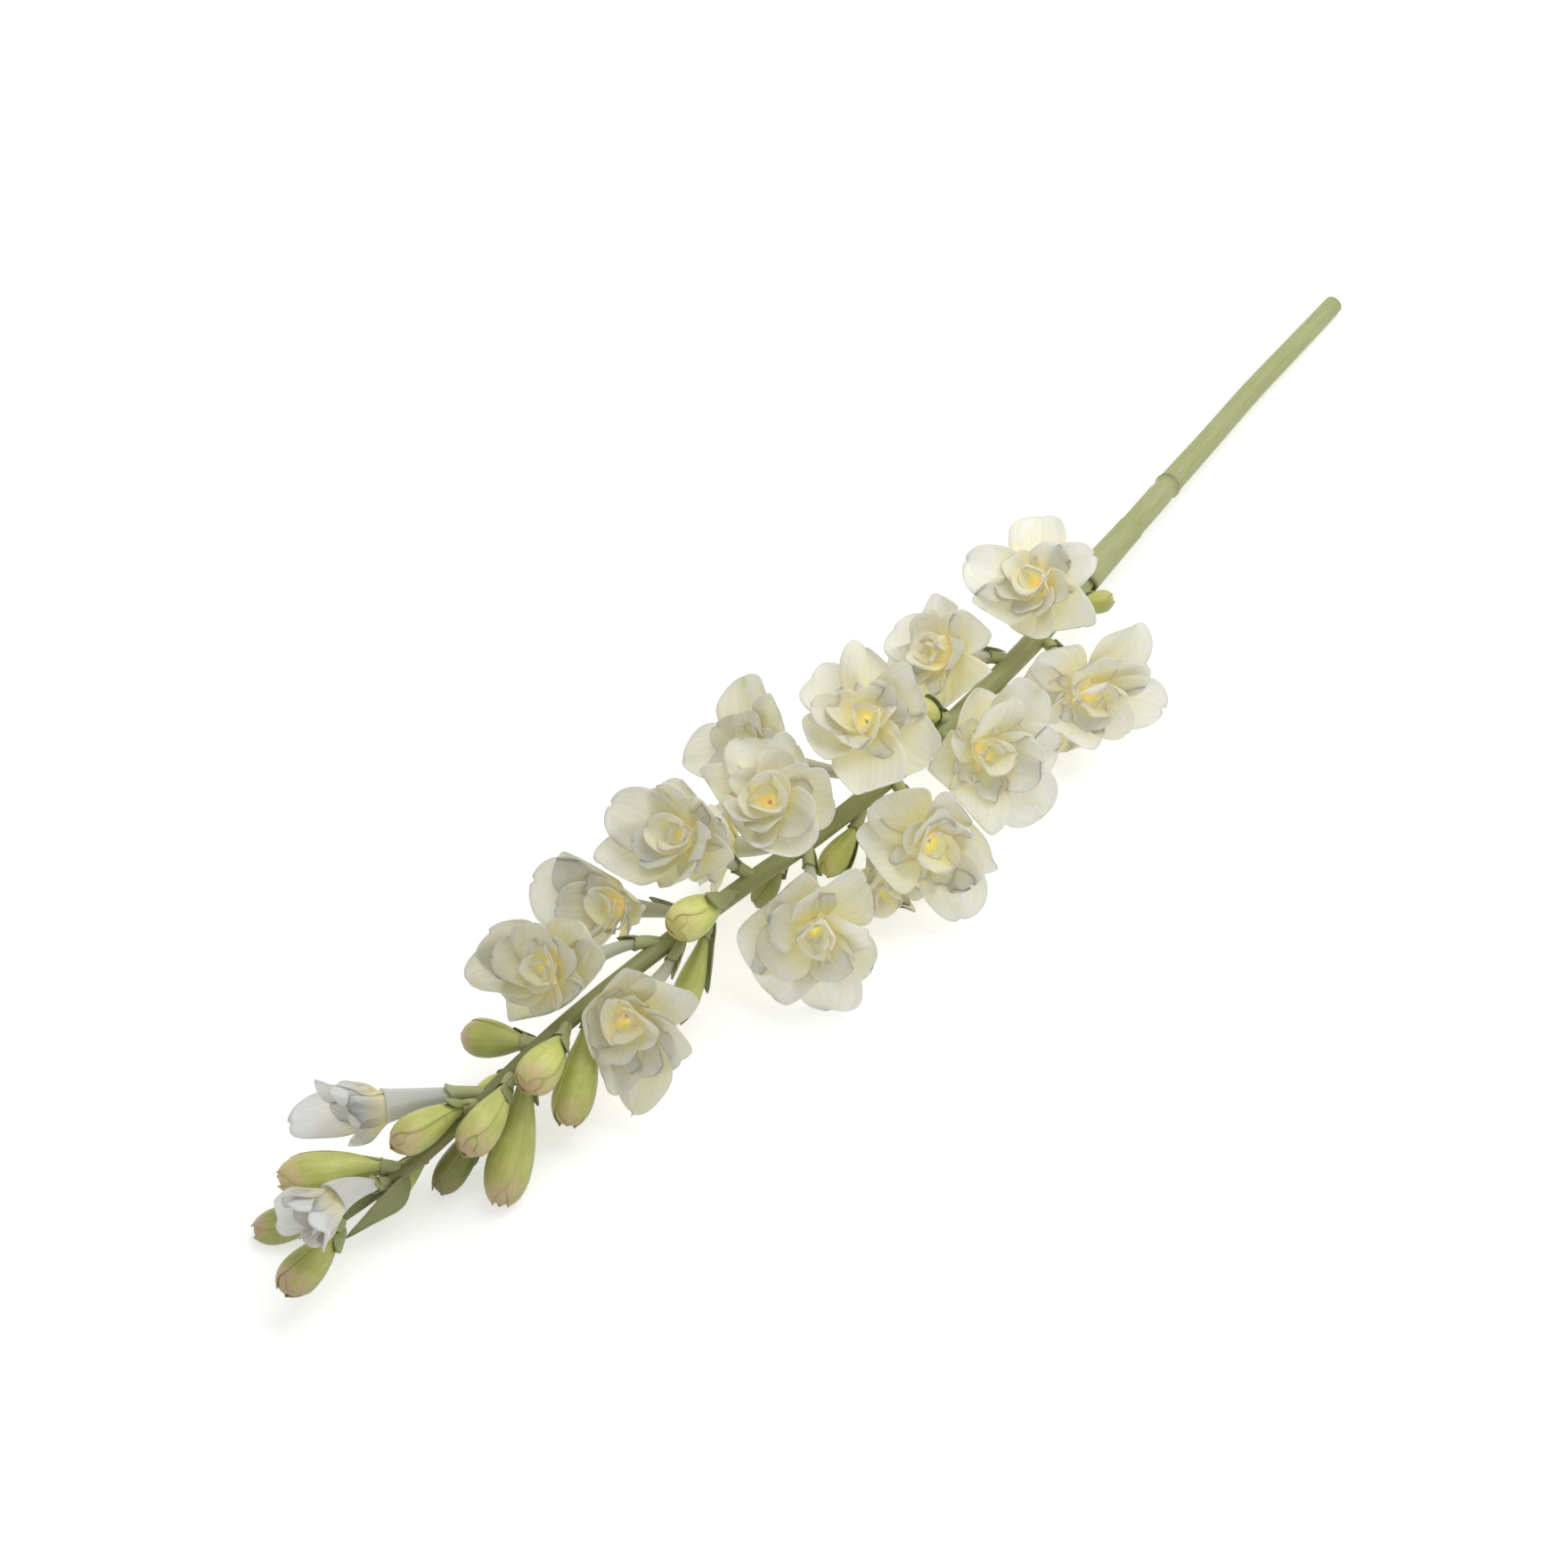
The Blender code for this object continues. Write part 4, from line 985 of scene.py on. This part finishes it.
def buildStem():
    look = stemLook
    length = stemRun[-1]
    bm, layers = newMesh(stemMarks)

    def place(x, y):
        s = (y + 1) / 2 * length
        angle = math.pi * (x + 1)
        past = s - look["joint"]
        radius = bareRadius(s) * look["slimmer"] + look["ribs"] * np.cos(11 * angle)
        joint = np.exp(-(past / 1.3) ** 2) * look["jointBulge"]
        joint = joint - np.exp(-((past - 4) / 2.5) ** 2) * look["jointDip"]
        # slimmer inside the sheath's rim
        inside = np.clip((s - look["sheathEnd"] + 6) / 6, 0, 1) * 0.9 * np.clip((260 - s) / 20, 0, 1)
        radius = radius + joint - inside - 0.5 * np.exp(-s / 0.8)
        ends = np.where((s < 0.01) | (s > length - 0.01), 0.0, 1.0)  # both ends closed
        return roundStem(s, angle, radius * ends)

    def marks(x, y):
        s = (y + 1) / 2 * length
        angle = math.pi * (x + 1)
        scar = np.exp(-((s - look["joint"] + 0.8) / 1.5) ** 2)
        scar = scar * (0.65 + 0.35 * np.cos(angle - look["scarSide"]))
        brown = np.clip(scar * 0.8 + np.exp(-(s / 2.2) ** 2) * 0.75, 0, 1)  # the scar and the cut
        upper = sum(rise(s, station, run) * amount for station, run, amount in look["darkens"])
        return {"run": s, "around": (x + 1) / 2, "brown": brown, "upper": upper}

    bentGrid(bm, layers, look["columns"], int(length / look["rowStep"]), place, marks, True)
    finishStemPiece("stem_core", bm, "stemGreen", look["green"])


def buildSheath():
    look = stemLook
    bm, layers = newMesh(stemMarks)
    start = look["sheathStart"]
    end = look["sheathEnd"]
    slant, side = look["rimSlant"]

    def place(x, y):
        share = (y + 1) / 2
        angle = math.pi * (x + 1)
        rim = end + slant * np.cos(angle - side) + look["rimWaves"] * np.sin(3 * angle)
        s = start + (rim - start) * share
        flare = 0.1 + look["flare"] * share ** 2 + 0.12 * np.cos(3 * angle) * share
        return roundStem(s, angle, bareRadius(np.minimum(s, end)) * look["slimmer"] + flare)

    def marks(x, y):
        share = (y + 1) / 2
        return {"run": start + share * (end - start), "around": (x + 1) / 2,
                "brown": rise(share, 0.93, 0.07) * 0.9, "upper": 0.0}

    bentGrid(bm, layers, look["columns"], look["sheathRows"], place, marks, True)
    finishStemPiece("stem_sheath", bm, "sheathGreen", look["green"], look["wall"])


def addCup(bm, layers, floret, k):  # the cup at a floret's base
    look = stemLook
    turn = np.random.default_rng(look["cupSeed"] + k).uniform(0, 2 * math.pi)
    seatShare = floret.seat / floret.length()
    usual = look["cupHeight"]["bloom" if floret.name in bloomRows else "bud"]
    above = look["tallCups"].get(floret.name, usual) / floret.length()

    def place(x, y):
        angle = math.pi * (x + 1)
        rim = above * (0.8 + 0.3 * np.abs(np.cos(1.5 * angle + turn)))
        share = -seatShare * 0.75 + (y + 1) / 2 * (seatShare * 0.75 + rim)
        fit = floret.girth(np.clip(share, 0, 1)) + look["cupGap"]
        radius = np.where(share < 0, layout["rootRadius"] - 0.1 + 0.5 * (1 + share / seatShare), fit)
        return alongAxis(floret, share, angle, radius + look["cupRim"] * rise(y, 0.75, 0.25))[0]

    def marks(x, y):
        return {"run": 300 + 40 * k + 8 * y, "around": (x + 1) / 2, "brown": rise(y, 0.92, 0.08) * 0.25,
                "upper": 0.15}

    bentGrid(bm, layers, *look["cupGrid"], place, marks, True)


def buildCups():
    bm, layers = newMesh(stemMarks)
    for k, floret in enumerate(florets.values()):
        addCup(bm, layers, floret, k)
    finishStemPiece("stem_cups", bm, "cupGreen", stemLook["pale"], stemLook["cupWall"])


tipLeaf = {                       # the long dark leaf on the near side of the tip, in millimetres
    "line": ((-295.5, 17.2, 18.2), (-306, 15.0, 18.0), (-316, 17.0, 15.0), (-328, 21.6, 7.5)),
    "width": 10.5,
    "fold": 0.35,
    "grid": (10, 24),
    "outward": (0.05, -0.85, 0.52),
}


def addLeaf(bm, layers):
    look = tipLeaf
    line = curveThrough(look["line"], 12)
    runs = np.linspace(0, 1, len(line))
    outward = unit(np.array(look["outward"]))

    def place(x, y):
        t = (y + 1) / 2
        ahead = readTable(np.minimum(t + 0.04, 1), runs, line)
        ahead = ahead - readTable(np.maximum(t - 0.04, 0), runs, line)
        across = np.cross(ahead / np.linalg.norm(ahead, axis=1)[:, None], outward)
        half = look["width"] / 2 * np.sin(math.pi * np.clip(t, 0, 1) ** 0.75) ** 0.8 + 0.15
        spot = readTable(t, runs, line) + across * (half * x)[:, None]
        return spot + outward * (look["fold"] * half * x * x)[:, None]

    def marks(x, y):
        t = (y + 1) / 2
        return {"run": 40 * t, "around": x / 8, "brown": rise(t, 0.85, 0.15) * 0.6, "upper": 0.9}

    bentGrid(bm, layers, *look["grid"], place, marks)


def addBract(bm, layers, floret, k):
    look = stemLook
    curl = np.random.default_rng(look["bractSeed"] + k).uniform(*look["bractCurl"])
    reach = look["bractShare"] * min(floret.bract / floret.length(), 0.95)
    table = np.linspace(0, 1, 30)
    rows = []
    for t in table:
        axis = floret.way(t * reach)
        tail = unit(axis * (axis @ floret.forward) - floret.forward)
        rows.append(np.concatenate((floret.at(t * reach), tail, np.cross(axis, tail))))
    rows = np.array(rows)
    root = floret.origin + floret.radial * (floret.stemRadius - 0.6) - floret.forward * 2.8

    def place(x, y):
        t = (y + 1) / 2
        wrap = np.radians(look["bractWrap"]) * np.sin(math.pi * np.clip(t, 0, 1) ** 0.75) ** 0.8 * x
        row = readTable(t, table, rows)
        tail = row[:, 3:6]
        side = row[:, 6:9]
        away = floret.girth(t * reach) * 1.03 + layout["bractGap"] + look["bractLift"]
        away = away + curl * rise(t, 0.7, 0.3) ** 2
        out = tail * np.cos(wrap)[:, None] + side * np.sin(wrap)[:, None]
        hold = np.clip(1 - t / 0.22, 0, 1)[:, None] ** 1.5  # 1 where it grows from the stem
        free = row[:, :3] + out * away[:, None]
        return heldIn(free * (1 - hold) + (root + side * (1.6 * x)[:, None]) * hold, planes[floret.name])

    def marks(x, y):
        t = (y + 1) / 2
        return {"run": 50 * k + 30 * t, "around": (x + 1) / 8, "brown": rise(t, 0.82, 0.18) * 0.75,
                "upper": 0.25}

    bentGrid(bm, layers, *look["bractGrid"], place, marks)


def buildBracts():                # with the tip's leaf
    bm, layers = newMesh(stemMarks)
    addLeaf(bm, layers)
    for k, floret in enumerate(florets.values()):
        addBract(bm, layers, floret, k)
    finishStemPiece("stem_bracts", bm, "bractGreen", stemLook["bract"], stemLook["bractWall"])


buildStem()
buildSheath()
buildCups()
buildBracts()
print("tuberose: stem, sheath, cups and bracts built")


stageLook = {
    "floorSize": 20,
    "floorColour": (0.80, 0.80, 0.80),
    "floorGlow": 0.48,            # a lit table: keeps the shadows faint
    "skyStrength": 0.48,
    "key": {"spot": (0.60, 0.05, 1.05), "aim": (0.05, 0.0, 0.0), "size": 1.2, "power": 9.6,
            "colour": (1.0, 0.985, 0.95)},
    "fill": {"spot": (-0.9, -0.7, 0.9), "aim": (0.0, 0.0, 0.0), "size": 1.2, "power": 1.5,
             "colour": (0.96, 0.98, 1.0)},
    "cameraAzimuth": -50.7,
    "cameraElevation": 50.0,
    "cameraDistance": 1.60,       # metres from the aim
    "lens": 85.0,
}


def buildStage():
    look = stageLook
    bm = bmesh.new()
    bmesh.ops.create_grid(bm, x_segments=2, y_segments=2, size=look["floorSize"])
    mesh = bpy.data.meshes.new("floor")
    bm.to_mesh(mesh)
    bm.free()
    floor = bpy.data.objects.new("floor", mesh)
    bpy.context.scene.collection.objects.link(floor)
    finish = Finish("floorPaper", Roughness=0.9, Emission_Color=(1, 1, 1, 1),
                    Emission_Strength=look["floorGlow"])
    grain = finish.noise(finish.place(), 3.0)
    lighter = tuple(c + 0.01 for c in look["floorColour"])
    finish.wear("Base Color", finish.blend(grain, look["floorColour"], lighter))
    mesh.materials.append(finish.material)
    world = bpy.data.worlds.new("softRoom")
    bpy.context.scene.world = world
    world.use_nodes = True
    world.node_tree.nodes["Background"].inputs["Color"].default_value = (1.0, 1.0, 1.0, 1)
    world.node_tree.nodes["Background"].inputs["Strength"].default_value = look["skyStrength"]


def addLight(name):
    look = stageLook[name]
    lamp = bpy.data.lights.new(name, "AREA")
    lamp.size = look["size"]
    lamp.energy = look["power"]
    lamp.color = look["colour"]
    holder = bpy.data.objects.new(name, lamp)
    holder.location = look["spot"]
    holder.rotation_euler = (Vector(look["aim"]) - Vector(look["spot"])).to_track_quat("-Z", "Y").to_euler()
    bpy.context.scene.collection.objects.link(holder)


def addCamera():
    look = stageLook
    a = math.radians(look["cameraAzimuth"])
    e = math.radians(look["cameraElevation"])
    aim = Vector((-layout["middle"][0] * mm, -layout["middle"][1] * mm, 0))
    way = Vector((math.sin(a) * math.cos(e), -math.cos(a) * math.cos(e), math.sin(e)))
    lens = bpy.data.cameras.new("view")
    lens.lens = look["lens"]
    lens.sensor_width = 36
    camera = bpy.data.objects.new("view", lens)
    camera.location = aim + way * look["cameraDistance"]
    camera.rotation_euler = (-way).to_track_quat("-Z", "Y").to_euler()
    bpy.context.scene.collection.objects.link(camera)
    bpy.context.scene.camera = camera


buildStage()
addLight("key")
addLight("fill")
addCamera()
scene = bpy.context.scene
scene.view_settings.view_transform = "Standard"
scene.view_settings.look = "None"
print("tuberose: stage, light and camera set")
